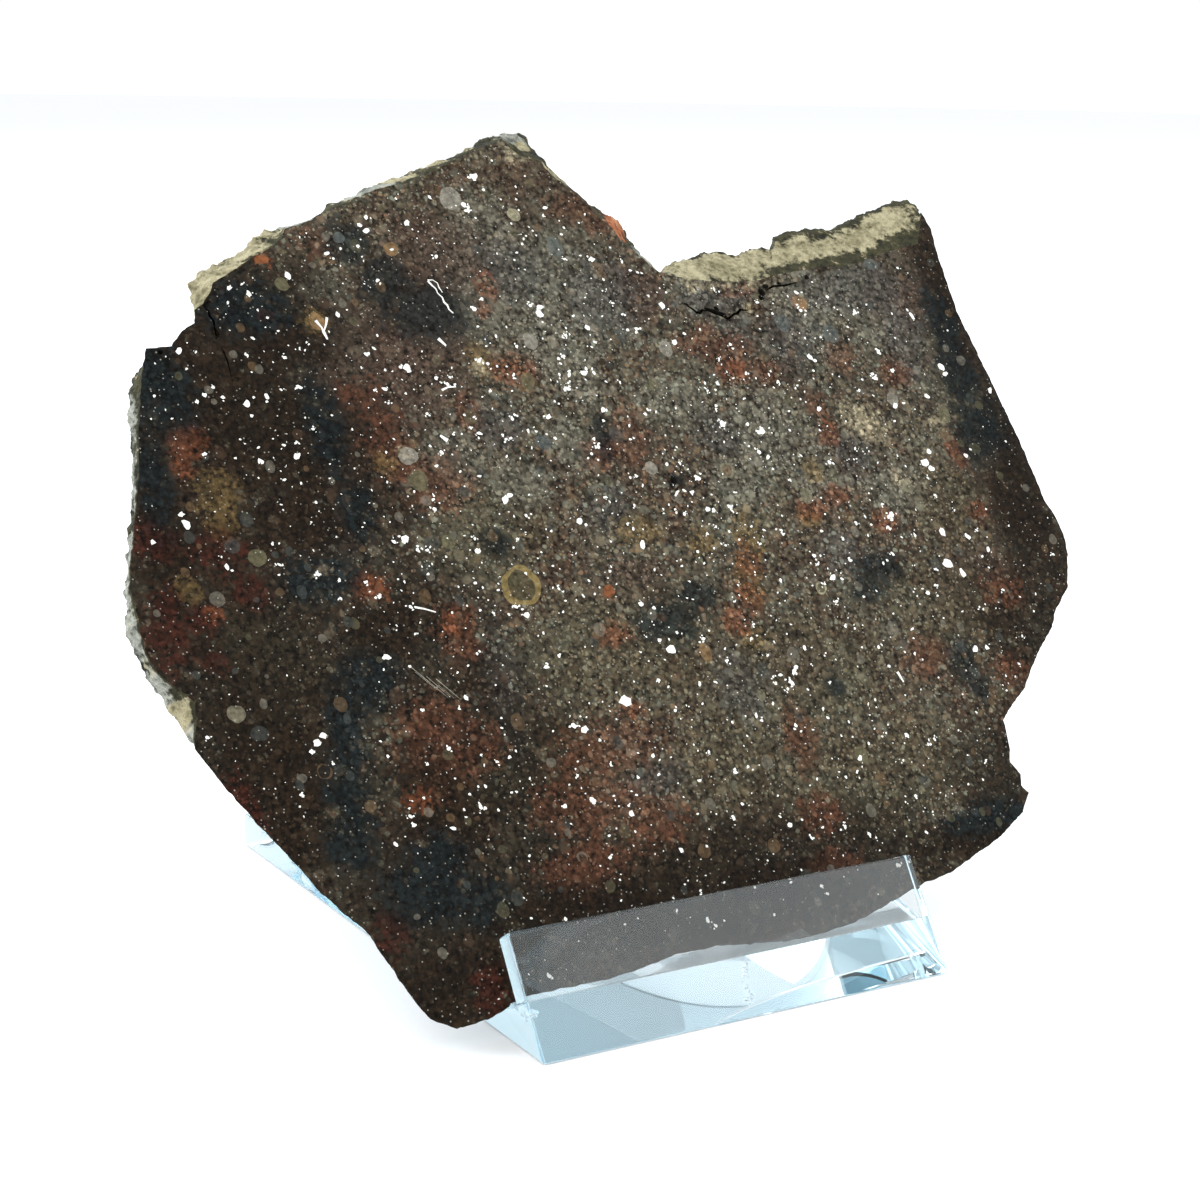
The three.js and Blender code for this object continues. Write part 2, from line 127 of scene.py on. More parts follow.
# Stained and dark areas of the stone, by tone, as (x, z, half width, half height) in mm on the slope; the
# "shade" areas are painted shade, which darkens the face towards the left, the lower edge and the right side.
# They fade over about their own size, and the grain of the stone breaks up their borders.
STAINS_AND_PAINTED_SHADE = {
    "blue_black": [
        (-46, 75.5, 3.6, 5), (-49, 66, 1.8, 6), (-34.5, 84.5, 5, 3.2), (-20.8, 91.8, 3, 2.6),
        (-17.5, 87, 3, 3.6), (-13.8, 83.2, 5, 3.6), (-27.6, 60.8, 2, 3), (-29, 71, 2, 6),
        (-34, 53.3, 4, 2.6), (-31.5, 41.8, 3.4, 3), (-35, 37, 2, 4.6), (-36.6, 30, 2.4, 4.6),
        (-37.5, 25.6, 2.6, 3), (-31, 19.6, 4.6, 3.6), (-28.5, 22.8, 3, 2.4), (-25.8, 17.6, 3.2, 2.4),
        (4.2, 66.4, 1.1, 3.4), (-13, 55.2, 1.8, 1.6), (5.3, 44.2, 4.2, 2.6), (9.8, 46.8, 2.6, 1.8),
        (35.6, 47.6, 3.6, 1.8), (32.8, 45, 2.4, 1.5), (42.8, 35, 2.2, 3), (44.2, 31, 1.4, 2.6),
        (24.2, 34.4, 1.3, 1.4), (56.6, 78, 2.2, 5), (56.4, 70.5, 2.4, 5), (57.2, 64, 3.2, 4),
        (54.4, 62, 2, 3), (11.8, 60.6, 1.3, 0.9), (39, 16.5, 6, 1.8),
    ],
    "dark_brown": [
        (-36, 72, 7.5, 9), (-44, 76, 6, 5), (-44, 32, 5, 9), (-46, 38, 3, 6), (-33, 9.5, 5, 4),
        (-35.5, 60, 6, 4), (-28, 27, 4, 6), (59, 52, 4, 6), (58.5, 84, 2, 6), (36, 14.5, 9, 2.4),
        (-31, 80, 5, 4), (-15, 15, 10, 2.6), (8, 14, 8, 2), (-49, 56, 3, 5), (-29, 47, 4, 3),
        (60, 60, 2, 8),
    ],
    # painted shade: darker towards the left, the lower edge and the right side of the face
    "shade": [
        (-50, 70, 16, 20), (-44, 40, 16, 22), (-32, 14, 14, 14), (-22, 26, 12, 16), (-38, 84, 14, 8),
        (66, 55, 11, 26), (61, 80, 6, 18), (46, 18, 10, 9), (40, 12, 14, 6), (4, 15, 30, 7), (56, 38, 9, 9),
        (-26, 44, 10, 12), (-30, 64, 10, 12),
    ],
    "deep_red": [
        (-51.6, 48.6, 2.4, 3.4), (-50.8, 52.4, 2, 2), (-47.4, 50.4, 1.8, 1.6), (-50.6, 59.4, 2.6, 2.2),
        (-44, 57.8, 2.6, 2.4), (-36, 16, 2, 2), (-48, 30, 2, 4), (-27, 8.5, 2, 2.6), (-41.5, 53, 2, 2),
        (-47, 46, 1.4, 1.4),
    ],
    "red_brown": [
        (8.4, 95.6, 3, 2), (12, 93.6, 2.4, 1.9), (20.6, 77.8, 3.6, 2), (24.6, 76, 3.4, 2.6),
        (28, 73.6, 2.4, 2), (39.6, 74.6, 2, 2.4), (7, 66, 3, 4), (3.2, 64.6, 2.4, 2), (-17.6, 63, 4, 3.4),
        (-20, 46, 2.4, 3.2), (-25.4, 34.5, 5, 4.6), (-20, 33.4, 2, 2), (-28, 29, 3, 1.8),
        (-10.5, 25.6, 6.4, 3.4), (-4, 22.6, 4.6, 3), (-13, 19, 5, 2.6), (17, 20, 2.6, 2.4),
        (17.6, 29, 2, 4), (16.6, 14.6, 3.6, 1.6), (38, 36, 3.6, 2.4), (49, 33.2, 2.4, 1.8),
        (-24, 74, 2.4, 2), (-6, 31, 6, 3), (34, 68.4, 1.8, 2), (-12, 71, 1.6, 2), (-22, 67, 3, 4),
        (-24, 92, 2.6, 2), (47, 72, 2, 2), (52, 43, 3, 2.4), (26.8, 84, 1.8, 0.8), (29.2, 84.2, 1.2, 0.7),
    ],
    "rust_orange": [
        (-31.1, 90.4, 1.3, 0.7), (-32.6, 83.6, 0.7, 0.7), (-44.6, 69.6, 2, 1.8), (-45.4, 67.2, 1.3, 1.4),
        (-5, 75.4, 2.6, 1.8), (-5.2, 86, 1.3, 2), (-6.5, 83, 1, 1), (34.4, 64.8, 1.5, 1.6),
        (32.6, 57, 2, 1.2), (28.4, 55.6, 2.4, 1.2), (38.4, 53.2, 2, 1.6), (52.4, 61, 1.6, 2),
        (52.6, 52.8, 1.3, 1.4), (14, 43.4, 2, 1.8), (16.6, 46, 1.8, 2), (18, 50, 1.6, 2.2),
        (-2, 43.4, 2.4, 1.5), (-28.6, 51.8, 2, 1.5), (-29.6, 28.6, 1.8, 1.3), (-0.9, 48.5, 0.7, 0.7),
        (36.4, 82, 0.9, 1.1), (-2.4, 35.2, 1.6, 1), (24, 73.6, 1.8, 1.3), (-46.4, 51, 1, 1),
        (-20.5, 46.8, 1.2, 1.2), (4.6, 65, 1.2, 1.2),
    ],
    "ochre": [
        (-42.6, 63.4, 2.3, 2.8), (-43, 60.4, 1.8, 1.8), (19, 53.2, 2, 3), (17.4, 48, 1.8, 3),
        (27.6, 54.4, 1.6, 1), (5, 55, 3, 2), (-27, 82.4, 1.5, 1.3), (-23.4, 65.6, 1.4, 1.2),
        (-8.6, 77, 1.4, 2.2), (30.5, 60.4, 1.6, 1.6), (12.5, 53, 2, 1.6), (-48, 53.5, 1.4, 1.4),
        (16, 41, 2, 1.4),
    ],
    "grey_olive": [
        (-3.5, 93, 4, 5), (2.6, 88.6, 6, 4.6), (1, 80, 4.4, 5), (3, 74.6, 3.6, 4), (7.6, 83, 5, 5),
        (-25, 86.2, 2.4, 2), (37.6, 83, 6, 3.4), (46, 80.6, 4.6, 4.4), (47, 85.4, 6, 2), (14.4, 70.4, 4, 3),
        (25.6, 66, 6, 4.6), (42, 57, 4.6, 3.6), (31, 60, 4, 3.6), (-14.6, 66, 4, 3), (-8, 62, 3.4, 3),
        (19.6, 60, 4, 4), (-46, 41, 3, 3), (-6, 84, 4, 6), (37.4, 78.4, 2.6, 4), (22, 84, 3, 2),
        (0, 66, 3, 3),
    ],
    "umber": [
        (-23, 75, 8, 8), (-24, 82, 5, 3), (-16, 78, 7, 5), (-10, 90, 7, 5), (-30, 66, 6, 5), (14, 84, 4, 4),
        (52, 82, 6, 5), (48, 44, 6, 5), (20, 38, 4, 3), (-5, 18, 14, 4), (2, 49, 5, 3),
    ],
    "olive": [
        (22, 23, 12, 6), (8, 27, 8, 6), (32, 24, 6, 6), (20, 36, 12, 7), (-16, 30, 8, 6), (0, 42, 14, 7),
        (-42, 44, 6, 8), (44, 42, 8, 6), (-14, 56, 8, 5), (48, 54, 5, 6), (-4, 18, 12, 4),
    ],
    "slate": [
        (-16.6, 41.5, 2.2, 5), (-17, 35.5, 1.8, 5), (24, 83, 5, 2.6), (33, 77, 4, 4), (45, 83.5, 8, 3),
        (9, 84, 5, 5), (-1, 88, 4, 4), (19, 66, 3, 3), (37, 62, 3, 3), (12, 36, 3, 4), (26, 79, 3, 2),
        (-8.6, 69, 3, 3), (50, 76, 3, 5), (31, 50, 3, 3), (2, 58, 3, 3), (-2, 27, 4, 2), (-30, 57, 3, 3),
    ],
    "beige": [
        (40, 66, 2.8, 2), (38.2, 67.6, 1.6, 1.4), (41.8, 64.8, 1.4, 1.4), (-20.4, 66.3, 0.9, 0.8),
        (3.6, 103, 1.6, 1), (50.6, 65.2, 1.2, 0.9), (29, 81.6, 0.8, 0.6), (-9, 76, 0.8, 1.2),
        (42.4, 58, 1.4, 0.8), (21.8, 85.2, 1, 0.8), (24.6, 84.7, 1.3, 0.8), (27.4, 85, 0.9, 0.6),
        (30.6, 84.8, 1.1, 0.5),
    ],
    # ground where the grains are finer and fainter
    "fine_ground": [
        (-32, 76, 16, 13), (-14, 84, 8, 8), (-46, 56, 8, 20), (-36, 16, 10, 12), (59, 66, 7, 26),
        (50, 88, 12, 4), (-4, 12, 26, 5), (6, 96, 8, 6),
    ],
}

# Coats on the rim, given the same way.
CRUST_COATS = {
    "pale": [
        (-39.6, 87.2, 2.6, 3.4), (-36.6, 90.2, 3, 2.4), (-32.6, 93, 2.6, 2), (-29.4, 94.6, 1.6, 1.4),
        (-13, 100.6, 3, 0.9), (-7, 103, 3, 0.8), (-2.6, 104.6, 1.6, 0.8), (5.4, 104.4, 1.2, 0.9),
        (9, 100.6, 2, 1.4), (23, 88, 3.4, 3), (29, 88.6, 6, 3.4), (38, 90, 7, 3.6), (47, 92, 7, 4),
        (54, 94.6, 4.6, 3.6), (-54.6, 46, 1, 1.4), (-51.6, 41.2, 1.2, 1.4),
    ],
    "ashen": [
        (-53, 40, 2.4, 3), (-54.6, 44, 2.4, 3), (-55.2, 49, 1.6, 3.4), (22, 87.4, 2.4, 1.6),
        (-26, 95.4, 2, 1), (-17, 99.2, 4, 1.2), (4.4, 105.6, 2, 1.2), (17.4, 89.2, 2, 2),
        (-55, 55, 1.3, 2.4), (-53.6, 60, 1.4, 3.6), (-51.6, 68, 1.4, 5), (-50, 75, 1.4, 4),
    ],
    "russet": [(14.8, 93.8, 1.5, 2.2)],
}

# Rounded grains that stand out, as (x, z, radius, stretch upwards, tone).
CHONDRULES = [
    (-6.5, 97.2, 1.35, 1.12, "ash"), (1.0, 94.9, 0.85, 1.0, "cream"), (-3.7, 66.5, 0.95, 1.0, "slate"),
    (-46.2, 40.3, 0.95, 1.0, "cream_dull"), (-20.3, 66.2, 1.15, 0.9, "ash"),
    (-19.9, 63.3, 1.2, 1.0, "moss"), (-26.7, 82.6, 0.9, 1.2, "tan"), (-0.9, 48.5, 0.7, 1.0, "rust"),
    (36.5, 81.9, 0.9, 1.15, "tan"), (15.7, 77.0, 0.9, 1.1, "ash"), (52.2, 66.0, 0.9, 1.2, "moss"),
    (45.3, 68.6, 0.8, 1.1, "ash"), (-29.6, 87.2, 0.8, 1.0, "moss"), (8.8, 40.1, 0.75, 1.6, "tan"),
    (14.2, 34.4, 0.6, 1.2, "cream_dull"), (-1.6, 78.9, 0.9, 1.2, "ash"), (12.4, 72.6, 0.7, 1.1, "moss"),
    (33.0, 79.4, 1.0, 1.2, "slate"), (28.5, 57.3, 0.8, 1.3, "cream_dull"),
    (43.1, 57.2, 1.0, 0.8, "cream_dull"), (39.4, 77.7, 1.1, 1.2, "slate"), (-15.6, 91.0, 0.9, 1.0, "tan"),
    (-3.4, 74.0, 0.9, 1.2, "moss"), (24.8, 26.0, 0.9, 1.0, "moss"), (-40.0, 56.4, 1.0, 1.0, "moss"),
    (-21.5, 92.6, 0.7, 1.0, "slate"), (5.1, 90.6, 1.0, 1.3, "slate"), (48.8, 86.8, 1.0, 0.8, "slate"),
    (-31.2, 90.2, 0.8, 0.7, "rust"), (-18.4, 56.0, 0.8, 1.0, "moss"), (9.0, 62.4, 0.8, 1.0, "ash"),
]

# Grains with a shell of another tone, as (x, z, outer radius, width of the shell, tone, tone of the shell).
SHELLED_CHONDRULES = [
    (-11.3, 50.2, 2.3, 0.66, "moss_dark", "gold"), (26.5, 45.9, 0.75, 0.22, "moss", "cream"),
    (18.9, 61.3, 0.95, 0.3, "tan_dark", "cream_dull"), (-38.6, 33.2, 0.8, 0.14, "soot", "tan_dark"),
]

# The largest nickel-iron grains of the face, as (x, z, radius).
LARGE_METAL = [
    (45.2, 47, 0.62), (47, 60, 0.62), (47.6, 59.2, 0.4), (-2.8, 36, 0.62), (0.6, 82.2, 0.42),
    (0.9, 83.1, 0.34), (4.6, 41, 0.5), (-38.6, 36.2, 0.42), (-37.8, 36.9, 0.36), (-39.4, 35.4, 0.28),
    (25.2, 65.8, 0.45), (-10.3, 60.2, 0.45), (-9.6, 60.7, 0.3), (54.2, 72.4, 0.5), (54.5, 71.4, 0.34),
    (46, 51, 0.48), (47, 45.6, 0.48), (-18, 93.4, 0.36), (-18.6, 94.1, 0.26), (-46.6, 60.7, 0.45),
    (-46.9, 61.8, 0.3), (28.5, 47, 0.4), (45.2, 36.2, 0.42), (-12.8, 94.2, 0.34), (17, 82.5, 0.42),
    (-8.6, 33.5, 0.4), (60.5, 68.8, 0.36), (-28.6, 88.2, 0.4), (45.4, 67.7, 0.36), (-37, 73.5, 0.38),
    (-32.9, 67.2, 0.38), (35.3, 74.8, 0.4), (20.2, 67.1, 0.4), (-33.6, 86.2, 0.34), (-35.6, 87, 0.28),
    (-11, 40.9, 0.3), (-42.9, 80, 0.36), (4, 74.6, 0.36), (53.4, 60.4, 0.3), (50.6, 68.6, 0.34),
    (-41.3, 74.8, 0.24), (-40.2, 75.6, 0.2), (-42.3, 74.1, 0.22), (-39.4, 74.4, 0.2), (6.2, 80.2, 0.34),
    (2.6, 46.6, 0.3),
]

# Threads and bars of metal, as points along each one and its width.
METAL_THREADS = [
    (((-12.2, 86.9), (-11.9, 86.4), (-11.5, 85.9), (-11.4, 85.3), (-11, 84.8), (-10.95, 84.2), (-10.65, 83.8),
      (-10.6, 83.3), (-10.2, 82.8)), 0.24),
    (((-12.2, 87), (-11.6, 87), (-11.1, 86.6), (-11.05, 86), (-10.8, 85.4)), 0.15),
    (((-12.9, 79.8), (-12.2, 78.9)), 0.42),
    (((-14.2, 73.6), (-13.4, 73.9), (-12.4, 73.9)), 0.26),
    (((-26.8, 82.7), (-26.3, 81.8), (-26.2, 81.2), (-26, 80.4)), 0.36),
    (((-25.4, 83), (-25.7, 82.2), (-26.1, 81.5)), 0.3),
    (((-24.2, 49.2), (-23.2, 48.9), (-22, 48.4)), 0.24),
    (((-15.2, 67.6), (-15.9, 68.3)), 0.5),
    (((33.2, 34.8), (33.6, 33.5)), 0.36),
]

# Open cracks as points from one end to the other, their greatest width and their depth in mm.
CRACKS = [
    (((20.4, 82.9), (20.6, 82.2), (21.1, 81.8), (21.4, 81.4), (21.9, 81.3), (22.3, 81.7), (22.8, 81.6),
      (23.4, 81.7)), 0.36, 1.0),
    (((23.1, 82.2), (23.9, 81.4), (25, 80.9), (25.9, 80.6)), 0.7, 1.4),
    (((25.5, 80.6), (26.1, 80.7), (26.6, 81), (27, 81), (27.6, 81.5), (28.3, 81.4), (29, 81.6)), 0.38, 1.1),
    (((-38.9, 85.2), (-38.6, 84.4), (-38.6, 83.8), (-38.3, 83.2), (-38.4, 82.4), (-38.2, 81.7)), 0.3, 1.3),
    (((-38.1, 80.2), (-37.9, 78.6), (-37.8, 76.8)), 0.18, 0.5),
    (((32.4, 84), (33.4, 84.4), (35, 84.4), (37.2, 84.9)), 0.3, 0.6),
]

# Pits where grains broke out near the crust, as (x, z, radius, depth) in mm.
PITS = [(31.4, 83.7, 0.55, 0.8), (31.1, 82.9, 0.42, 0.6), (32.2, 84.4, 0.4, 0.6), (24.3, 81.7, 0.36, 0.7),
        (34.3, 84.7, 0.3, 0.4), (38.6, 85.4, 0.35, 0.4), (-44.9, 79.9, 0.3, 0.4), (11.4, 60.7, 0.45, 0.4)]

# Fine scratches in the polish, as two ends and a width. They are real marks; their lighter tone is a painted
# highlight of the light they catch.
SCRATCHES = [
    (((-26.6, 43), (-23.2, 39)), 0.1), (((-26.1, 42.2), (-24.2, 40)), 0.07),
    (((-25, 41.6), (-22.9, 39)), 0.08), (((-24, 41.2), (-22, 38.8)), 0.1),
    (((-23.9, 40.5), (-22.6, 38.9)), 0.06),
]

# Parts of the face with few metal grains, as (x, z, half width, half height).
SPARSE_METAL = [(58, 66, 9, 26), (-46, 50, 8, 22), (-38, 42, 8, 14), (-15, 84, 6, 6), (-36, 12, 10, 12),
                (-10, 40, 8, 4), (48, 90, 12, 4), (42, 18, 8, 6), (0, 4, 26, 6)]

METAL, GRAIN, OPENING = range(3)
POLISHED_SLOT, SAWN_SLOT, CRUST_SLOT, METAL_SLOT = range(4)

# Tones of the grains that are cut into the faces.
GRAIN_TONES = {
    "ash": "#8e887c", "cream": "#a39c80", "cream_dull": "#77715d", "slate": "#575c59", "moss": "#666149",
    "moss_dark": "#4a432f", "tan": "#866a49", "tan_dark": "#5e4a35", "rust": "#8a5230", "gold": "#8a7648",
    # hollow: near-black painted shade for the walls of cracks and pits
    # scratch: a light tone that paints the highlight along real scratches
    "soot": "#231f1b", "painted_shade_hollow": "#0f0d0b", "scratch_highlight": "#a8a294", "faint_ash": "#7d776a",
    "faint_moss": "#5c5843", "faint_slate": "#474b48", "faint_tan": "#6d573e", "faint_brown": "#4a382b",
    "faint_soot": "#2b2621",
}
FAINT_TONES = [tone for tone in GRAIN_TONES if tone.startswith("faint")]

# How each stain and the painted shade look: its colour, and how much of the stone it hides.
STAIN_AND_SHADE_LOOKS = {
    "grey_olive": ("#605d51", 0.6), "umber": ("#44352d", 0.6), "olive": ("#484232", 0.5),
    # "shade" is the near-black tone of the painted shade
    "slate": ("#403f3d", 0.5), "shade": ("#19110a", 0.8), "red_brown": ("#533324", 0.54),
    "dark_brown": ("#1f160e", 0.82), "ochre": ("#614f31", 0.58), "deep_red": ("#371811", 0.62),
    "rust_orange": ("#663a25", 0.54), "blue_black": ("#11191b", 0.8), "beige": ("#857a63", 0.7),
}

# Layers of rounded grains between the cut ones, from coarse to fine: cells in a millimetre,
# the grain's radius in its cell, how many cells hold one, and how well it covers the stone.
GRAIN_LAYERS = ((0.7, 0.4, 0.4, 0.5), (1.4, 0.42, 0.6, 0.8), (2.6, 0.45, 0.42, 0.72))
LAYER_TONES = ("#4d4436", "#53554a", "#503c2c", "#5c5847", "#464a45", "#574a34")

# How many metal grains and chondrules are scattered over each face, and the spacing of its points in mm.
FRONT_FILL = (1800, 420, 1.0)
BACK_FILL = (520, 160, 1.6)

# The dry film of air under the back rest, in mm: half its width, half its depth, its thickness,
# and how far its middle lies behind the front edge.
AIR_FILM = (24.8, 1.7, 0.06)
AIR_FILM_PLACE = 12.96

# Bubbles under the lip, as the two ends in mm that they lie between, y from the front edge, and their number.
BUBBLES = (((0.9, 4.2, 4.2), (0, 1.6, 0.9), 22), ((-24.2, 5.2, 4.1), (-24.2, 4, 3.3), 12))

# The soft panels: name, place in metres, size, colour, and the setting that holds the power.
PANELS = (
    ("key_panel", (-0.75, -0.65, 1.05), 0.8, "#fffdf8", "key"),
    ("mirrored_panel", (0.62, -0.66, 0.87), 1.0, "#ecfbfd", "mirrored"),
    ("back_panel", (-0.6, 1.0, 0.85), 1.5, "#eef8ff", "back"),
)
PANEL_TARGET = Vector((0.005, 0, 0.04))

# Where the camera stands, in mm, and which way its right and its top point.
CAMERA_PLACE = Vector((-132.72, -225.76, 96.65))
CAMERA_RIGHT = Vector((0.858848, -0.511974, 0.016206))
CAMERA_TOP = Vector((0.101804, 0.201616, 0.97416))


def linear(sRGB_hex):
    """Linear red, green, blue and alpha of an sRGB hex colour."""
    channels = [int(sRGB_hex[i:i + 2], 16) / 255 for i in (1, 3, 5)]
    return (*(c / 12.92 if c <= 0.04045 else ((c + 0.055) / 1.055) ** 2.4 for c in channels), 1.0)


def add_node(tree, kind, inputs=None, **settings):
    """Adds one node with its properties. An input takes a value, a socket, or another node, which stands
    for the first of its outputs that is in use."""
    node = tree.nodes.new("ShaderNode" + kind)
    for name, value in settings.items():
        setattr(node, name, value)
    for socket, value in (inputs or {}).items():
        if isinstance(value, bpy.types.Node):
            value = next(output for output in value.outputs if output.enabled)
        if isinstance(value, bpy.types.NodeSocket):
            tree.links.new(value, node.inputs[socket])
        else:
            node.inputs[socket].default_value = value
    return node


def new_material(name):
    """A material with an empty node tree, and what adds a node to it."""
    material = bpy.data.materials.new(name)
    material.use_nodes = True
    material.node_tree.nodes.clear()
    return material, partial(add_node, material.node_tree)


def colour_property(name, description, sRGB_hex):
    """A colour that a user can change in the panel."""
    return bpy.props.FloatVectorProperty(
        name=name, description=description, subtype="COLOR", size=4, min=0, max=1, default=linear(sRGB_hex))


def length_property(name, description, millimetres):
    """A length that a user can change in the panel."""
    return bpy.props.FloatProperty(
        name=name, description=description, min=0, unit="LENGTH", subtype="DISTANCE",
        default=millimetres * MM)


def strength_property(name, description, strength, unit="POWER"):
    """The strength of a light that a user can change in the panel."""
    return bpy.props.FloatProperty(name=name, description=description, min=0, unit=unit, default=strength)


base_low, base_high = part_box("easel_base")


class EaselSettings(bpy.types.PropertyGroup):
    """Sizes and colour of the acrylic easel."""
    lean: bpy.props.FloatProperty(
        name="Lean", description="How far the slice leans back from upright", subtype="ANGLE",
        default=math.radians(33.5))
    width: length_property("Width", "Width of the three sheets", (base_high.x - base_low.x) / MM)
    depth: length_property("Base depth", "Depth of the base sheet", (base_high.y - base_low.y) / MM)
    base_thickness: length_property("Base thickness", "Thickness of the base sheet", base_high.z / MM)
    lip_reach: length_property("Lip reach", "Length of the front lip up the slope", 13.5)
    lip_thickness: length_property("Lip thickness", "Thickness of the front lip", 2.5)
    rest_reach: length_property("Rest reach", "Length of the back rest up the slope", 62)
    rest_thickness: length_property("Rest thickness", "Thickness of the back rest", 3)
    gap: length_property("Gap", "Air between the slice and each sheet", 0.3)
    polished_edge: length_property("Polished edge", "Rounding of the flame-polished edges", 0.3)
    tint: colour_property("Tint", "Colour that the acrylic gives to light in its depth", "#b4e6f4")


class SliceSettings(bpy.types.PropertyGroup):
    """Sizes and tones of the slice."""
    thickness: length_property("Thickness", "Distance between the two sawn faces", 4)
    outline_step: length_property("Outline step", "Spacing of the points along the edge", 0.36)
    chipping: length_property("Chipping", "Depth of the small chips along the sawn edge", 0.12)
    roughness: length_property("Rim roughness", "Height of the lumps on the natural rim", 0.34)
    matrix_brown: colour_property("Brown matrix", "Tone between the grains where rust has spread", "#45372c")
    matrix_grey: colour_property("Grey matrix", "Tone between the grains in fresher stone", "#504b3f")
    metal: colour_property("Nickel iron", "Polished metal grains", "#f6f4ee")
    crust_pale: colour_property("Pale crust", "Weathered, lime-coated crust", "#b5ab8b")
    crust_dark: colour_property("Dark crust", "Olive-black crust", "#222117")


class StageSettings(bpy.types.PropertyGroup):
    """Strength of the studio lights."""
    key: strength_property("Key", "Power of the soft key light in watts", 5)
    mirrored: strength_property("Mirrored", "Power of the panel that the acrylic mirrors, in watts", 4.6)
    back: strength_property("Back", "Power of the light from behind in watts", 26)
    surround: strength_property("Surround", "Brightness of the pale room", 1.05, "NONE")


def outline(step):
    """The edge list as close, evenly spaced points: the sawn edge, and the outer rim of the crust."""
    face, rim = [], []
    for start, end in zip(FACE_EDGE, FACE_EDGE[1:] + FACE_EDGE[:1]):
        face_ends = np.array((start[:2], end[:2]), float)
        rim_ends = np.array((start[2:] or start[:2], end[2:] or end[:2]), float)
        longest = max(np.linalg.norm(ends[1] - ends[0]) for ends in (face_ends, rim_ends))
        steps = max(1, round(longest / step))
        for share in np.arange(steps) / steps:
            face.append(face_ends[0] + (face_ends[1] - face_ends[0]) * share)
            rim.append(rim_ends[0] + (rim_ends[1] - rim_ends[0]) * share)
    return np.array(face), np.array(rim)


def outward_directions(rim, reach):
    """Outward directions along a closed edge, averaged over a few neighbours so that jags don't cross."""
    run = np.roll(rim, -reach, axis=0) - np.roll(rim, reach, axis=0)
    outward = np.stack((-run[:, 1], run[:, 0]), 1)
    return outward / np.linalg.norm(outward, axis=1)[:, None]


def roughness_at(places, wavelength, octaves):
    """Natural unevenness between about -1 and 1 at each place, for lumps of that size in mm."""
    return np.array([noise.fractal(Vector(place) / wavelength, 0.8, 2.1, octaves) for place in places])


def smooth_step(low, high, value):
    """Rises smoothly from 0 at low to 1 at high."""
    share = np.clip((value - low) / (high - low), 0, 1)
    return share * share * (3 - 2 * share)


def rim_rings(settings):
    """The places of every ring of the rim, in mm on the slope."""
    face, rim = outline(settings.outline_step / MM)
    outward = outward_directions(rim, 8)
    crust = np.minimum(1, np.linalg.norm(rim - face, axis=1))
    end_drift = np.where(outward @ WALL_DRIFT < 0, UNDERCUT_DRIFT, OVERHANG_DRIFT)
    drift_share = end_drift + (1 - end_drift) * crust
    rings = []
    for index, share in enumerate(RINGS):
        depth = share * settings.thickness / MM
        slope = math.sin(min(1, share / CRUST_RIM_SHARE) * math.pi / 2)
        place = face + (rim - face) * slope + np.outer(depth * drift_share, WALL_DRIFT)
        spots = np.column_stack((place[:, 0], np.full(len(place), depth), place[:, 1]))
        chips = settings.chipping / MM * roughness_at(spots * (1, 0.4, 1), CHIP_SIZE, 3)
        lumps = roughness_at(spots, LUMP_SIZE, 4) - 0.25 * (1 - crust)
        crags = CRAG_HEIGHT * roughness_at(spots + 40, CRAG_SIZE, 4) * crust
        relief = math.sin(math.pi * share) * (settings.roughness / MM * lumps + crags)
        inset = EDGE_ROUNDING[index] if index < len(EDGE_ROUNDING) else 0
        rings.append(place + outward * (chips + relief - inset)[:, None])
    return np.array(rings)


def stand_clear(places, easel):
    """Lifts the places that would reach into the easel's base, so the underside is flat where it stands."""
    x, depth, height = places.T
    side = easel.width / MM / 2 + easel.gap / MM
    floor = (easel.base_thickness + easel.gap) / MM
    lowest = (floor + depth * math.sin(easel.lean)) / math.cos(easel.lean)
    return np.column_stack((x, depth, np.where(abs(x) < side, np.maximum(height, lowest), height)))


def inside(points, edge):
    """Which of the points lie within a closed edge."""
    x, z = points[:, :1], points[:, 1:]
    x0, z0 = edge.T
    x1, z1 = np.roll(edge, -1, axis=0).T
    crosses = (z0 > z) != (z1 > z)
    with np.errstate(divide="ignore", invalid="ignore"):
        at = x0 + (z - z0) * (x1 - x0) / (z1 - z0)
    return np.sum(crosses & (x < at), axis=1) % 2 == 1


def clearance(points, edge):
    """Distance from each point to the nearest point of a closed edge."""
    return np.array([np.min(np.hypot(*(edge - point).T)) for point in points])


def nearness(points, areas):
    """How deep each point lies in any of the areas: 1 at a middle, 0 well outside."""
    found = np.zeros(len(points))
    for x, z, half_width, half_height in areas:
        reach = np.hypot((points[:, 0] - x) / half_width, (points[:, 1] - z) / half_height)
        found = np.maximum(found, 1 - smooth_step(0.35, 1.65, reach))
    return found


def line_offset(line, place):
    """Distance from a place to the nearest part of a line of points."""
    place, nearest = Vector(place), math.inf
    for start, end in zip(line, line[1:]):
        start, run = Vector(start), Vector(end) - Vector(start)
        along = min(1, max(0, (place - start).dot(run) / run.length_squared))
        nearest = min(nearest, (place - start - run * along).length)
    return nearest


def blob(draw, x, z, radius, stretch, corners, raggedness):
    """The outline of one grain, rounder with more corners."""
    turn = draw.uniform(0, math.pi)
    points = []
    for corner in range(corners):
        angle = 2 * math.pi * (corner + draw.uniform(-0.22, 0.22)) / corners
        reach = radius * (1 + raggedness * draw.uniform(-1, 1))
        across, along = reach * math.cos(angle) / stretch, reach * math.sin(angle) * stretch
        points.append((x + across * math.cos(turn) - along * math.sin(turn),
                       z + across * math.sin(turn) + along * math.cos(turn)))
    return points


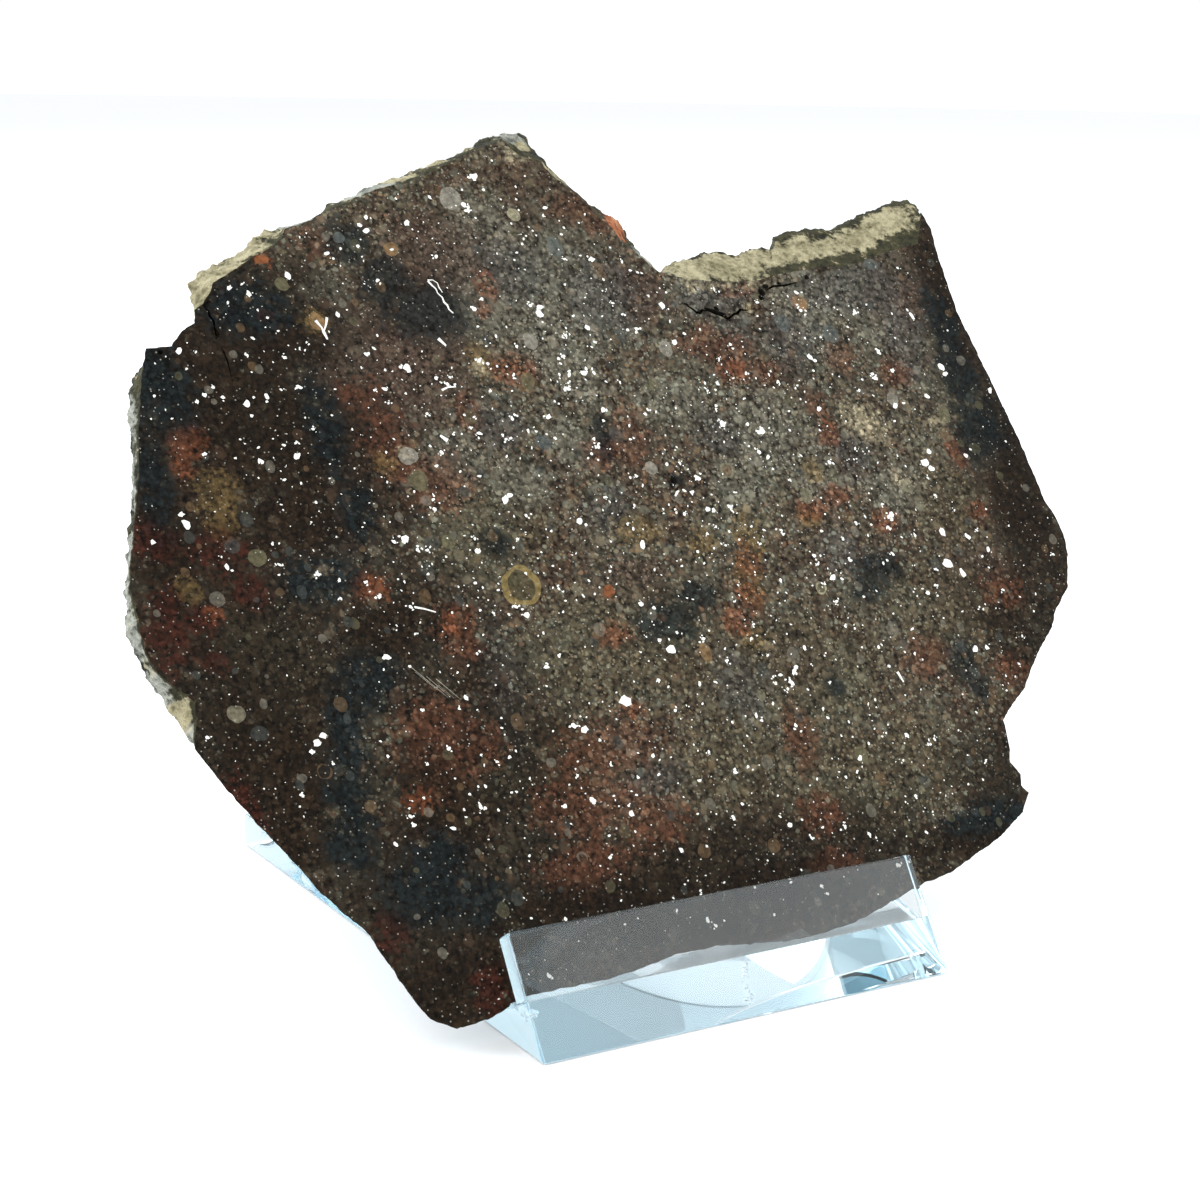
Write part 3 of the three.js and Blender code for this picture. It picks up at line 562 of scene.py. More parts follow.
def ellipse(draw, x, z, radius, stretch, corners):
    """A rounded grain whose long side points up the slope."""
    angles = [2 * math.pi * corner / corners for corner in range(corners)]
    turns = [draw.uniform(0, 6.3) for _ in range(3)]
    waves = ((2, 0.05), (3, 0.04), (5, 0.03))
    points = []
    for angle in angles:
        swell = [height * math.sin(count * angle + turn) for (count, height), turn in zip(waves, turns)]
        reach = radius * (1 + swell[0] + swell[1] + swell[2] + draw.uniform(-0.02, 0.02))
        points.append((x + reach * math.cos(angle), z + reach * math.sin(angle) * stretch))
    return points


def thread(points, width, pointed=False):
    """The outline of a thin line through the points, with tapered ends if it is pointed."""
    line = np.array(points, float)
    run = np.gradient(line, axis=0)
    side = np.stack((-run[:, 1], run[:, 0]), 1) / np.linalg.norm(run, axis=1)[:, None]
    along = np.linspace(0, 1, len(line))
    taper = 0.75 + 0.25 * np.cos(9 * along)
    if pointed:
        taper = np.sin(math.pi * np.clip(along, 0.04, 0.96)) ** 0.6
    half = (width / 2 * taper)[:, None]
    return [tuple(p) for p in np.vstack((line - side * half, (line + side * half)[::-1]))]


def placed_inlays(draw):
    """The grains, threads, cracks, pits and scratches that are placed one by one, as (kind, tone, outline).
    """
    found = []
    for x, z, radius, stretch, tone in CHONDRULES:
        found.append((GRAIN, tone, ellipse(draw, x, z, radius, stretch, 16)))
    for x, z, radius, shell, tone, shell_tone in SHELLED_CHONDRULES:
        found.append((GRAIN, shell_tone, ellipse(draw, x, z, radius, 1.04, 34)))
        found.append((GRAIN, tone, ellipse(draw, x, z, radius - shell, 1.04, 30)))
    # scratches: real marks drawn in a light tone, a painted highlight
    for ends, width in SCRATCHES:
        found.append((GRAIN, "scratch_highlight", thread(ends, width)))
    for x, z, radius in LARGE_METAL:
        found.append((METAL, None, blob(draw, x, z, radius, 1.15, 10, 0.28)))
    for points, width in METAL_THREADS:
        found.append((METAL, None, thread(points, width)))
    for points, width, _ in CRACKS:
        found.append((OPENING, None, thread(points, width, pointed=True)))
    for x, z, radius, _ in PITS:
        found.append((OPENING, None, blob(draw, x, z, radius, 1.1, 11, 0.25)))
    return found


def metal_grains(draw, x, z):
    """One grain of metal, often with a few crumbs of it close by."""
    radius = min(0.4, max(0.06, draw.lognormvariate(math.log(0.11), 0.45)))
    corners = 5 if radius < 0.13 else 7
    found = [(METAL, None, blob(draw, x, z, radius, draw.uniform(1, 1.35), corners, 0.32))]
    for _ in range(draw.choice((0, 0, 1, 2, 3)) if radius > 0.16 else 0):
        turn, part = draw.uniform(0, 2 * math.pi), draw.uniform(0.35, 0.7)
        away = radius * draw.uniform(0.8, 2.2)
        place = (x + away * math.cos(turn), z + away * math.sin(turn))
        found.append((METAL, None, blob(draw, *place, radius * part, 1.15, 6, 0.3)))
    return found


def scattered_inlays(draw, edge, metal_count, chondrule_count):
    """Metal grains and larger chondrules spread over a face, fewer where the list says so."""
    edge_margin, crack_margin, chondrule_share = 1.1, 0.8, 0.15
    low, high = edge.min(0), edge.max(0)
    places = np.array([(draw.uniform(low[0], high[0]), draw.uniform(low[1], high[1]))
                       for _ in range(5 * (metal_count + chondrule_count))])
    places = places[inside(places, edge)]
    places = places[clearance(places, edge) > edge_margin]
    places = np.array([place for place in places
                       if all(line_offset(line, place) > crack_margin for line, _, _ in CRACKS)])
    grouping = roughness_at(np.column_stack((places, np.zeros(len(places)))), 6, 2)
    found = []
    for (x, z), group, thin in zip(places, grouping, nearness(places, SPARSE_METAL)):
        if draw.random() < chondrule_share:
            if chondrule_count > 0:
                chondrule_count -= 1
                tone = draw.choice(FAINT_TONES)
                radius = min(1.1, draw.lognormvariate(math.log(0.48), 0.32))
                found.append((GRAIN, tone, ellipse(draw, x, z, radius, draw.uniform(0.85, 1.3), 11)))
            continue
        central = max(0.3, 1 - 0.5 * math.hypot((x - 4) / 52, (z - 60) / 44) ** 2)
        if metal_count > 0 and draw.random() < central * (0.6 + 0.6 * group) * (1 - 0.86 * thin):
            metal_count -= 1
            found += metal_grains(draw, x, z)
    found.sort(key=lambda inlay: -inlay[0])
    return found


def deepest_points():
    """Points along the middle of each crack and pit, which are pushed in."""
    found = [(x, z) for x, z, _, _ in PITS]
    for line, _, _ in CRACKS:
        for start, end in zip(line, line[1:]):
            found += [tuple(Vector(start).lerp(Vector(end), share)) for share in (0.12, 0.37, 0.62, 0.87)]
    return found


def flat_places(corners):
    """The (x, z) places of mesh corners, in mm."""
    return np.array([(corner.co.x / MM, corner.co.z / MM) for corner in corners])


def fill_face(shape, ring, depth, inlays, spacing, facing, slot, extra=()):
    """Closes one sawn face with triangles that follow every inlaid grain, and marks what each one is made of;
    the triangles in cracks and pits get a near-black painted shade.
    Gives the corners of the triangles in cracks and pits."""
    edge = flat_places(ring)
    points = [tuple(place) for place in edge]
    outlines = [list(range(len(points)))[::-1]]
    for _, _, inlay in inlays:
        outlines.append(list(range(len(points), len(points) + len(inlay))))
        points.extend(inlay)
    across, up = (np.arange(low, high, spacing) for low, high in zip(edge.min(0), edge.max(0)))
    lattice = np.array([(x + spacing / 2 * (row % 2), z) for row, z in enumerate(up) for x in across])
    lattice = lattice[inside(lattice, edge)]
    lattice = lattice[clearance(lattice, edge) > spacing / 2]
    points.extend(map(tuple, lattice))
    points.extend(extra)
    made = delaunay_2d_cdt([Vector(point) for point in points], [], outlines, 1, 1e-5)
    coordinates, _, triangles, origins, _, owners = made
    corners = []
    for place, origin in zip(coordinates, origins):
        at_edge = [index for index in origin if index < len(ring)]
        spot = (place.x * MM, depth * MM, place.y * MM)
        corners.append(ring[at_edge[0]] if at_edge else shape.verts.new(spot))
    tone_layer = shape.faces.layers.float_color["grain"]
    opening_corners = set()
    for triangle, owner in zip(triangles, owners):
        order = [corners[index] for index in (triangle if facing > 0 else triangle[::-1])]
        if len(set(order)) < 3:
            continue
        face = shape.faces.new(order)
        face.material_index = slot
        face[tone_layer] = (0, 0, 0, 0)
        # the whole face is outline 0, and an inlay that comes later lies on top
        for index in sorted(owner):
            kind, tone, _ = inlays[index - 1] if index else (None, None, None)
            if kind == GRAIN:
                cover = 0.45 if tone in FAINT_TONES else 0.74
                face[tone_layer] = (*linear(GRAIN_TONES[tone])[:3], cover)
            elif kind == METAL:
                face.material_index = METAL_SLOT
            # the walls of cracks and pits are painted near-black: painted shade in their depth
            elif kind == OPENING:
                face.material_index = slot
                face[tone_layer] = linear(GRAIN_TONES["painted_shade_hollow"])
                opening_corners.update(order)
    return opening_corners


def select_only(*pieces):
    """Selects these pieces and nothing else, as the operators act on all that is; the last one is active."""
    if bpy.context.object and bpy.context.object.mode != "OBJECT":
        bpy.ops.object.mode_set(mode="OBJECT")
    bpy.ops.object.select_all(action="DESELECT")
    for piece in pieces:
        piece.select_set(True)
        bpy.context.view_layer.objects.active = piece


def edit_all(piece, *steps):
    """Does each step in edit mode on all of a piece."""
    select_only(piece)
    bpy.ops.object.mode_set(mode="EDIT")
    for operator, settings in steps:
        bpy.ops.mesh.select_all(action="SELECT")
        operator(**settings)
    bpy.ops.object.mode_set(mode="OBJECT")


def set_in_place(piece, turn=(0, 0, 0), shift=(0, 0, 0)):
    """Turns and moves a finished piece, and takes its place into its mesh."""
    select_only(piece)
    piece.rotation_euler = turn
    piece.location = shift
    bpy.ops.object.transform_apply(location=True, rotation=True, scale=True)


def mesh_places(mesh):
    """The places of a mesh's points, one row each."""
    places = np.empty(len(mesh.vertices) * 3)
    mesh.vertices.foreach_get("co", places)
    return places.reshape(-1, 3)


def write_weights(mesh, weights):
    """Keeps a number for each point of the mesh under each name, for the materials to read."""
    for name, values in weights.items():
        mesh.attributes.new(name, "FLOAT", "POINT").data.foreach_set("value", values.astype(np.float32))


def slope_coordinates(add, lean, front):
    """Object coordinates in millimetres, turned into the slope frame: right, into the stone, up the slope."""
    return add("Mapping", {
        "Vector": add("TexCoord").outputs["Object"],
        "Location": (0, front * math.cos(lean), front * math.sin(lean)),
        "Rotation": (lean, 0, 0),
        "Scale": (1 / MM, 1 / MM, 1 / MM),
    })


def chondrite_material(name, settings, lean, front, polished):
    """Ordinary chondrite, sawn, then lapped to a satin polish on its front: tightly packed grains in a dark,
    rust-stained matrix. The polish gives the eye a soft gloss, and the saw leaves faint parallel marks."""
    material, add = new_material(name)
    place = slope_coordinates(add, lean, front)
    stir = add("TexNoise", {"Vector": place, "Scale": 0.9, "Detail": 4, "Roughness": 0.62})
    moved = add("VectorMath", {0: stir.outputs[1], 1: (0.5, 0.5, 0.5)}, operation="SUBTRACT")
    warped = add("VectorMath", {0: moved, 1: (0.9, 0.9, 0.9), 2: place}, operation="MULTIPLY_ADD")

    # clouds of a few millimetres, and the powdery matrix of a few tenths
    clouds = add("TexNoise", {"Vector": place, "Scale": 0.16, "Detail": 4, "Roughness": 0.65})
    powder = add("TexNoise", {"Vector": place, "Scale": 1.7, "Detail": 3, "Roughness": 0.65})
    hue = add("MapRange", {0: clouds, 1: 0.38, 2: 0.62})
    stone = add("Mix", {0: hue, 6: settings.matrix_brown, 7: settings.matrix_grey}, data_type="RGBA")
    patchy = add("MapRange", {0: stir, 1: 0.36, 2: 0.64, 3: 0.55, 4: 1.35})
    shade = add("MapRange", {0: powder, 1: 0.34, 2: 0.68, 3: 0.12, 4: 1.45})
    shade = add("Math", {0: shade, 1: patchy}, operation="MULTIPLY")
    fine = add("Attribute", attribute_name="fine_ground")
    plainness = add("MapRange", {0: fine.outputs["Fac"], 3: 1, 4: 0.42})

    # chondrules of 0.3 to 1.2 mm: a cell of the pattern holds one rounded grain, lighter or darker than
    # the rest
    picks = []
    for cells_per_mm, radius, presence, cover in GRAIN_LAYERS:
        cells = add("TexVoronoi", {"Vector": warped, "Scale": cells_per_mm})
        pick = add("SeparateColor", {0: cells.outputs["Color"]})
        picks.append(pick.outputs[2])
        shrunk = add("Math", {0: picks[-1], 1: 0.22, 2: cells.outputs["Distance"]}, operation="MULTIPLY_ADD")
        edge = add("MapRange", {0: shrunk, 1: radius + 0.2, 2: radius - 0.02, 4: cover})
        there = add("Math", {0: pick.outputs[1], 1: presence}, operation="LESS_THAN")
        mask = add("Math", {0: edge, 1: there}, operation="MULTIPLY")
        mask = add("Math", {0: mask, 1: plainness}, operation="MULTIPLY")
        light = add("MapRange", {0: pick, 3: 0.3, 4: 3.0})
        shade = add("Mix", {0: mask, 2: shade, 3: light}, data_type="FLOAT")
        tone = add("ValToRGB", {0: picks[-1]})
        tone.color_ramp.interpolation = "CONSTANT"
        for index, shown in enumerate(LAYER_TONES):
            if index >= len(tone.color_ramp.elements):
                tone.color_ramp.elements.new(1)
            tone.color_ramp.elements[index].position = index / len(LAYER_TONES)
            tone.color_ramp.elements[index].color = linear(shown)
        stone = add("Mix", {0: mask, 6: stone, 7: tone}, data_type="RGBA")

    # stains and the painted shade: noise and the grains themselves break up their borders, and the grain
    # shows through them
    ragged = add("Math", {0: stir, 1: 1.9, 2: -1.92}, operation="MULTIPLY_ADD")
    for pattern, strength in ((picks[1], 0.3), (picks[0], 0.25), (powder, 1.4)):
        ragged = add("Math", {0: pattern, 1: strength, 2: ragged}, operation="MULTIPLY_ADD")
    for stain_or_shade, (tone, cover) in STAIN_AND_SHADE_LOOKS.items():
        near = add("Attribute", attribute_name=stain_or_shade).outputs["Fac"]
        stirred = add("Math", {0: near, 1: ragged}, operation="ADD")
        mask = add("MapRange", {0: stirred, 1: 0.1, 2: 0.95, 4: cover}, interpolation_type="SMOOTHSTEP")
        # for the "shade" areas this mask lays painted shade over the stone
        there = add("Math", {0: near, 1: 5}, operation="MULTIPLY", use_clamp=True)
        mask = add("Math", {0: mask, 1: there}, operation="MULTIPLY")
        stone = add("Mix", {0: mask, 6: stone, 7: linear(tone)}, data_type="RGBA")
    stone = add("VectorMath", {0: stone, 3: shade}, operation="SCALE")

    # the grains that are cut into the face have their own tone, a little mottled
    grain = add("Attribute", attribute_name="grain")
    mottle = add("MapRange", {0: powder, 1: 0.32, 2: 0.68, 3: 0.5, 4: 1.25})
    own = add("VectorMath", {0: grain.outputs["Color"], 3: mottle}, operation="SCALE")
    share = add("Math", {0: grain.outputs["Alpha"], 1: 0.9}, operation="MULTIPLY")
    stone = add("Mix", {0: share, 6: stone, 7: own}, data_type="RGBA")

    # metal dust, too fine to cut into the face
    dust = add("TexVoronoi", {"Vector": place, "Scale": 1.9})
    pick = add("SeparateColor", {0: dust.outputs["Color"]})
    speck = add("MapRange", {0: dust.outputs["Distance"], 1: 0.2, 2: 0.14})
    there = add("Math", {0: pick.outputs[1], 1: 0.3}, operation="LESS_THAN")
    mask = add("Math", {0: speck, 1: there}, operation="MULTIPLY")
    share = add("Math", {0: mask, 1: 0.45}, operation="MULTIPLY")
    stone = add("Mix", {0: share, 6: stone, 7: linear("#b9b4a6")}, data_type="RGBA")

    # lapping leaves a satin surface; the saw leaves faint parallel marks and a duller one
    height, strength, distance, sheen_range = powder, 0.04, 0.0002, (0.36, 0.5)
    if not polished:
        marks = add("TexWave", {"Vector": place, "Scale": 0.9, "Distortion": 0.6, "Detail": 2},
                    bands_direction="Z")
        height = add("Math", {0: marks, 1: 0.5, 2: powder}, operation="MULTIPLY_ADD")
        strength, distance, sheen_range = 0.35, 0.0003, (0.62, 0.8)
    relief = add("Bump", {"Height": height, "Strength": strength, "Distance": distance})
    sheen = add("MapRange", {0: powder, 1: 0.3, 2: 0.7, 3: sheen_range[0], 4: sheen_range[1]})
    shader = add("BsdfPrincipled", {
        "Base Color": stone, "Roughness": sheen, "Normal": relief, "IOR": 1.5, "Specular IOR Level": 0.04})
    add("OutputMaterial", {"Surface": shader})
    return material


def metal_material(settings, lean, front):
    """Nickel iron, lapped with the stone: bright, with a fine haze that keeps it from mirroring."""
    material, add = new_material("nickel_iron_lapped")
    place = slope_coordinates(add, lean, front)
    haze = add("TexNoise", {"Vector": place, "Scale": 6, "Detail": 2})
    tone = add("Mix", {0: haze, 6: linear("#cfcbc2"), 7: settings.metal}, data_type="RGBA")
    sheen = add("MapRange", {0: haze, 3: 0.3, 4: 0.5})
    shader = add("BsdfPrincipled", {"Base Color": tone, "Metallic": 0.35, "Roughness": sheen})
    add("OutputMaterial", {"Surface": shader})
    return material


def crust_material(settings, lean, front):
    """Weathered fusion crust and old broken stone: matt and craggy, olive-black,
    with a chalky coat where the attributes say that lime has settled on it."""
    material, add = new_material("weathered_fusion_crust")
    place = slope_coordinates(add, lean, front)
    lumps, grit = (add("TexNoise", {"Vector": place, "Scale": scale, "Detail": 4, "Roughness": 0.6})
                   for scale in (0.4, 1.3))
    # the tones follow the same lumps as the bump and are darker in its hollows: partly the crust's own
    # mottling, partly painted shade of its relief
    blend = add("Math", {0: lumps, 1: 1.1, 2: grit}, operation="MULTIPLY_ADD")
    mottle_and_shade = add("MapRange", {0: blend, 1: 0.84, 2: 1.24})
    tone = add("Mix", {0: mottle_and_shade, 6: settings.crust_dark, 7: linear("#49462f")}, data_type="RGBA")
    coats = (("russet", "#7a3f25", linear("#b9744c")), ("ashen", "#62635a", linear("#a9a99e")),
             ("pale", "#6f684c", settings.crust_pale))
    for coat, dull, bright in coats:
        near = add("Attribute", attribute_name=coat).outputs["Fac"]
        stirred = add("Math", {0: blend, 1: 1.5, 2: near}, operation="MULTIPLY_ADD")
        cover = add("MapRange", {0: stirred, 1: 1.8, 2: 2.25}, interpolation_type="SMOOTHSTEP")
        mix = add("Mix", {0: mottle_and_shade, 6: linear(dull), 7: bright}, data_type="RGBA")
        tone = add("Mix", {0: cover, 6: tone, 7: mix}, data_type="RGBA")
    height = add("Math", {0: lumps, 1: 2.5, 2: grit}, operation="MULTIPLY_ADD")
    relief = add("Bump", {"Height": height, "Strength": 0.9, "Distance": 0.0007})
    shader = add("BsdfPrincipled", {
        "Base Color": tone, "Roughness": 0.85, "Normal": relief, "Specular IOR Level": 0.2})
    add("OutputMaterial", {"Surface": shader})
    return material


def acrylic_material(settings):
    """Cast acrylic with flame-polished edges: clear, with a breath of blue in its depth."""
    material, add = new_material("clear_cast_acrylic")
    shader = add("BsdfPrincipled", {
        "Base Color": (1, 1, 1, 1), "Roughness": 0.0, "IOR": 1.49, "Transmission Weight": 1.0})
    depth = add("VolumeAbsorption", {"Color": tuple(settings.tint), "Density": 12.0})
    add("OutputMaterial", {"Surface": shader, "Volume": depth})
    return material


def coat_weights(spots, edge_x, share):
    """How much of each coat the rim carries at each of its points, with a band of painted shade left bare of
    coat under the thick pale crust on the right.
    """
    dark_line = smooth_step(-45, -50, edge_x) * (1 - smooth_step(0.0, 0.06, share))
    # painted shade: along the foot of the thick pale crust on the right the coats are taken off, so a dark
    # band shows under its edge
    painted_shade_foot = smooth_step(31, 39, edge_x) * (1 - smooth_step(-0.02, 0.22, share))
    thick = smooth_step(32, 37, edge_x) * (1 - smooth_step(46, 54, edge_x))
    dark_crest = smooth_step(19, 22, edge_x) * smooth_step(0.46 - 0.2 * thick, 0.7 - 0.1 * thick, share)
    hidden = np.maximum.reduce((0.6 * dark_line, 0.9 * painted_shade_foot, 0.9 * dark_crest))
    return {coat: np.clip(nearness(spots, areas) - hidden, 0, 1) for coat, areas in CRUST_COATS.items()}


class CHONDRITE_OT_slice(bpy.types.Operator):
    """Model the slice: sawn faces with their inlaid grains, joined by the natural rim"""
    bl_idname = "chondrite.slice"
    bl_label = "Meteorite slice"

    def execute(self, context):
        settings = context.scene.chondrite_slice
        easel = context.scene.chondrite_easel
        front = (easel.lip_thickness + easel.gap) / MM
        stone = self.draw_rim(settings, easel, front)
        self.fill_faces(stone.data, front, settings)
        places = mesh_places(stone.data)[:, (0, 2)] / MM
        # weights for the stains and for the painted shade of the "shade" areas
        write_weights(stone.data, {stain_or_shade: nearness(places, areas) for stain_or_shade, areas in STAINS_AND_PAINTED_SHADE.items()})
        self.dress(stone, settings, easel)
        set_in_place(stone, (-easel.lean, 0, 0), (0, -easel.depth / 2, 0))
        self.keep_in_box(stone.data)
        select_only(stone)
        bpy.ops.object.shade_smooth_by_angle(angle=math.radians(38))
        stone.data.attributes.remove(stone.data.attributes["outline_place"])
        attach(stone, "root")
        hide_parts("meteorite_slice")
        return {"FINISHED"}

    def draw_rim(self, settings, easel, front):
        """Extrudes a circle once for each ring of the rim, and moves its points to their places."""
        rings = rim_rings(settings)
        count = rings.shape[1]
        select_only()
        bpy.ops.mesh.primitive_circle_add(vertices=count, radius=1, fill_type="NOTHING")
        stone = bpy.context.object
        stone.name = "chondrite_slice"
        mesh = stone.data
        mark = mesh.attributes.new("outline_place", "INT", "POINT")
        mark.data.foreach_set("value", np.arange(count, dtype=np.int32))
        bpy.ops.object.mode_set(mode="EDIT")
        bpy.ops.mesh.select_mode(type="EDGE")
        bpy.ops.mesh.select_all(action="SELECT")
        for _ in RINGS[1:]:
            bpy.ops.mesh.extrude_edges_move(TRANSFORM_OT_translate={"value": (0, 0, 1)})
        bpy.ops.object.mode_set(mode="OBJECT")
        ring_of = np.rint(mesh_places(mesh)[:, 2]).astype(int)
        place_of = np.empty(len(mesh.vertices), np.int32)
        mesh.attributes["outline_place"].data.foreach_get("value", place_of)
        shares = np.array(RINGS)[ring_of]
        spots = rings[ring_of, place_of]
        places = np.column_stack((spots[:, 0], front + shares * settings.thickness / MM, spots[:, 1]))
        mesh.vertices.foreach_set("co", (stand_clear(places, easel) * MM).ravel())
        write_weights(mesh, coat_weights(spots, rings[0][:, 0][place_of], shares))
        return stone

    def fill_faces(self, mesh, front, settings):
        """Closes both sawn faces and sinks the cracks and pits."""
        draw = random.Random(23)
        shape = bmesh.new()
        shape.from_mesh(mesh)
        shape.faces.layers.float_color.new("grain")
        for face in shape.faces:
            face.material_index = CRUST_SLOT
        back = front + settings.thickness / MM
        order = shape.verts.layers.int["outline_place"]
        front_ring, back_ring = (
            sorted((v for v in shape.verts if abs(v.co.y / MM - depth) < 1e-3), key=lambda v: v[order])
            for depth in (front, back))
        *counts, spacing = FRONT_FILL
        inlays = scattered_inlays(draw, flat_places(front_ring), *counts) + placed_inlays(draw)
        openings = fill_face(shape, front_ring, front, inlays, spacing, 1, POLISHED_SLOT, deepest_points())
        self.sink_openings(openings - set(front_ring))
        *counts, spacing = BACK_FILL
        inlays = scattered_inlays(draw, flat_places(back_ring), *counts)
        fill_face(shape, back_ring, back, inlays, spacing, -1, SAWN_SLOT)
        bmesh.ops.recalc_face_normals(shape, faces=shape.faces)
        shape.to_mesh(mesh)
        shape.free()

    def sink_openings(self, corners):
        """Pushes the corners inside each crack and pit down to its depth."""
        for corner in corners:
            place = (corner.co.x / MM, corner.co.z / MM)
            depths = [depth * (1 - line_offset(line, place) / (0.25 * width))
                      for line, width, depth in CRACKS]
            depths += [depth * (1 - math.dist(place, (x, z)) / (0.6 * radius))
                       for x, z, radius, depth in PITS]
            corner.co.y += max(0, *depths) * MM

    def dress(self, stone, settings, easel):
        """Gives the faces, the crust and the metal their materials, in the order of the slots."""
        where = (settings, easel.lean, easel.depth / MM / 2)
        for material in (chondrite_material("chondrite_lapped", *where, True),
                         chondrite_material("chondrite_sawn", *where, False),
                         crust_material(*where), metal_material(*where)):
            stone.data.materials.append(material)

    def keep_in_box(self, mesh):
        """Holds the lumps of the rim within the solid's own reach."""
        low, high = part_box("meteorite_slice")
        held = np.clip(mesh_places(mesh), np.array(low), np.array(high))
        mesh.vertices.foreach_set("co", held.ravel())
        mesh.update()


class CHONDRITE_OT_easel(bpy.types.Operator):
    """Model the easel: base, front lip and back rest of clear acrylic, cemented into one piece"""
    bl_idname = "chondrite.easel"
    bl_label = "Acrylic easel"

    def execute(self, context):
        settings = context.scene.chondrite_easel
        corners = self.side_profile(settings, context.scene.chondrite_slice.thickness)
        select_only()
        bpy.ops.mesh.primitive_circle_add(vertices=len(corners), radius=1, fill_type="NGON")
        easel = bpy.context.object
        easel.name = "acrylic_easel"
        for vertex, (y, z) in zip(easel.data.vertices, corners):
            vertex.co = (-settings.width / 2, y - settings.depth / 2, z)
        across = {"TRANSFORM_OT_translate": {"value": (settings.width, 0, 0)}}
        edit_all(easel, (bpy.ops.mesh.extrude_region_move, across),
                 (bpy.ops.mesh.normals_make_consistent, {"inside": False}))
        bevel = easel.modifiers.new("flame_polish", "BEVEL")
        bevel.width = settings.polished_edge
        bevel.segments = 3
        bevel.limit_method = "ANGLE"
        bevel.angle_limit = math.radians(25)
        bpy.ops.object.modifier_apply(modifier=bevel.name)
        bpy.ops.object.shade_smooth_by_angle(angle=math.radians(30))
        easel.data.materials.append(acrylic_material(settings))
        self.leave_air(easel, settings)
        set_in_place(easel)
        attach(easel, "root")
        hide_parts("easel_base", "easel_front_lip", "easel_back_rest")
        return {"FINISHED"}

    def leave_air(self, easel, settings):
        """Leaves air in the cemented joints: a dry film under the back rest, and bubbles under the lip."""
        draw = random.Random(5)
        front = -settings.depth / 2 / MM
        parts = [self.dry_film(front, settings.base_thickness / MM)]
        for start, end, count in BUBBLES:
            for _ in range(count):
                radius = draw.uniform(0.12, 0.4)
                place = Vector(start).lerp(Vector(end), draw.random())
                place += Vector([draw.gauss(0, 0.2) for _ in range(3)]) + Vector((0, front, 0))
                bpy.ops.mesh.primitive_ico_sphere_add(
                    subdivisions=2, radius=radius * MM, location=place * MM, scale=(1, 1, 0.6))
                parts.append(bpy.context.object)
        for part in parts:
            part.data.materials.append(easel.data.materials[0])
            select_only(part)
            bpy.ops.object.transform_apply(location=True, rotation=True, scale=True)
            bpy.ops.object.shade_smooth_by_angle(angle=math.radians(30))
            edit_all(part, (bpy.ops.mesh.normals_make_consistent, {"inside": True}))
        select_only(*parts, easel)
        bpy.ops.object.join()

    def dry_film(self, front, top):
        """A flat pocket with blunt ends, half of it above the base's top."""
        half_width, half_depth, thickness = AIR_FILM
        bpy.ops.mesh.primitive_circle_add(vertices=40, radius=1, fill_type="NGON")
        film = bpy.context.object
        for corner in film.data.vertices:
            across = math.copysign(abs(corner.co.x) ** 0.6, corner.co.x)
            along = math.copysign(abs(corner.co.y) ** 0.4, corner.co.y)
            corner.co = (across * half_width * MM, (front + AIR_FILM_PLACE + half_depth * along) * MM,
                         (top - thickness / 2) * MM)
        upwards = {"TRANSFORM_OT_translate": {"value": (0, 0, thickness * MM)}}
        edit_all(film, (bpy.ops.mesh.extrude_region_move, upwards))
        return film

    def side_profile(self, settings, slice_thickness):
        """The easel seen from its side as (y, z) in metres, from the front bottom edge backwards."""
        sine, cosine = math.sin(settings.lean), math.cos(settings.lean)

        def on_slope(depth, reach):
            return reach * sine + depth * cosine, reach * cosine - depth * sine

        def at_base_top(depth):
            return on_slope(depth, (settings.base_thickness + depth * sine) / cosine)

        rest_front = settings.lip_thickness + slice_thickness + 2 * settings.gap
        rest_back = rest_front + settings.rest_thickness
        return [
            (0, 0), (settings.depth, 0), (settings.depth, settings.base_thickness),
            at_base_top(rest_back), on_slope(rest_back, settings.rest_reach),
            on_slope(rest_front, settings.rest_reach), at_base_top(rest_front),
            at_base_top(settings.lip_thickness), on_slope(settings.lip_thickness, settings.lip_reach),
            on_slope(0, settings.lip_reach),
        ]


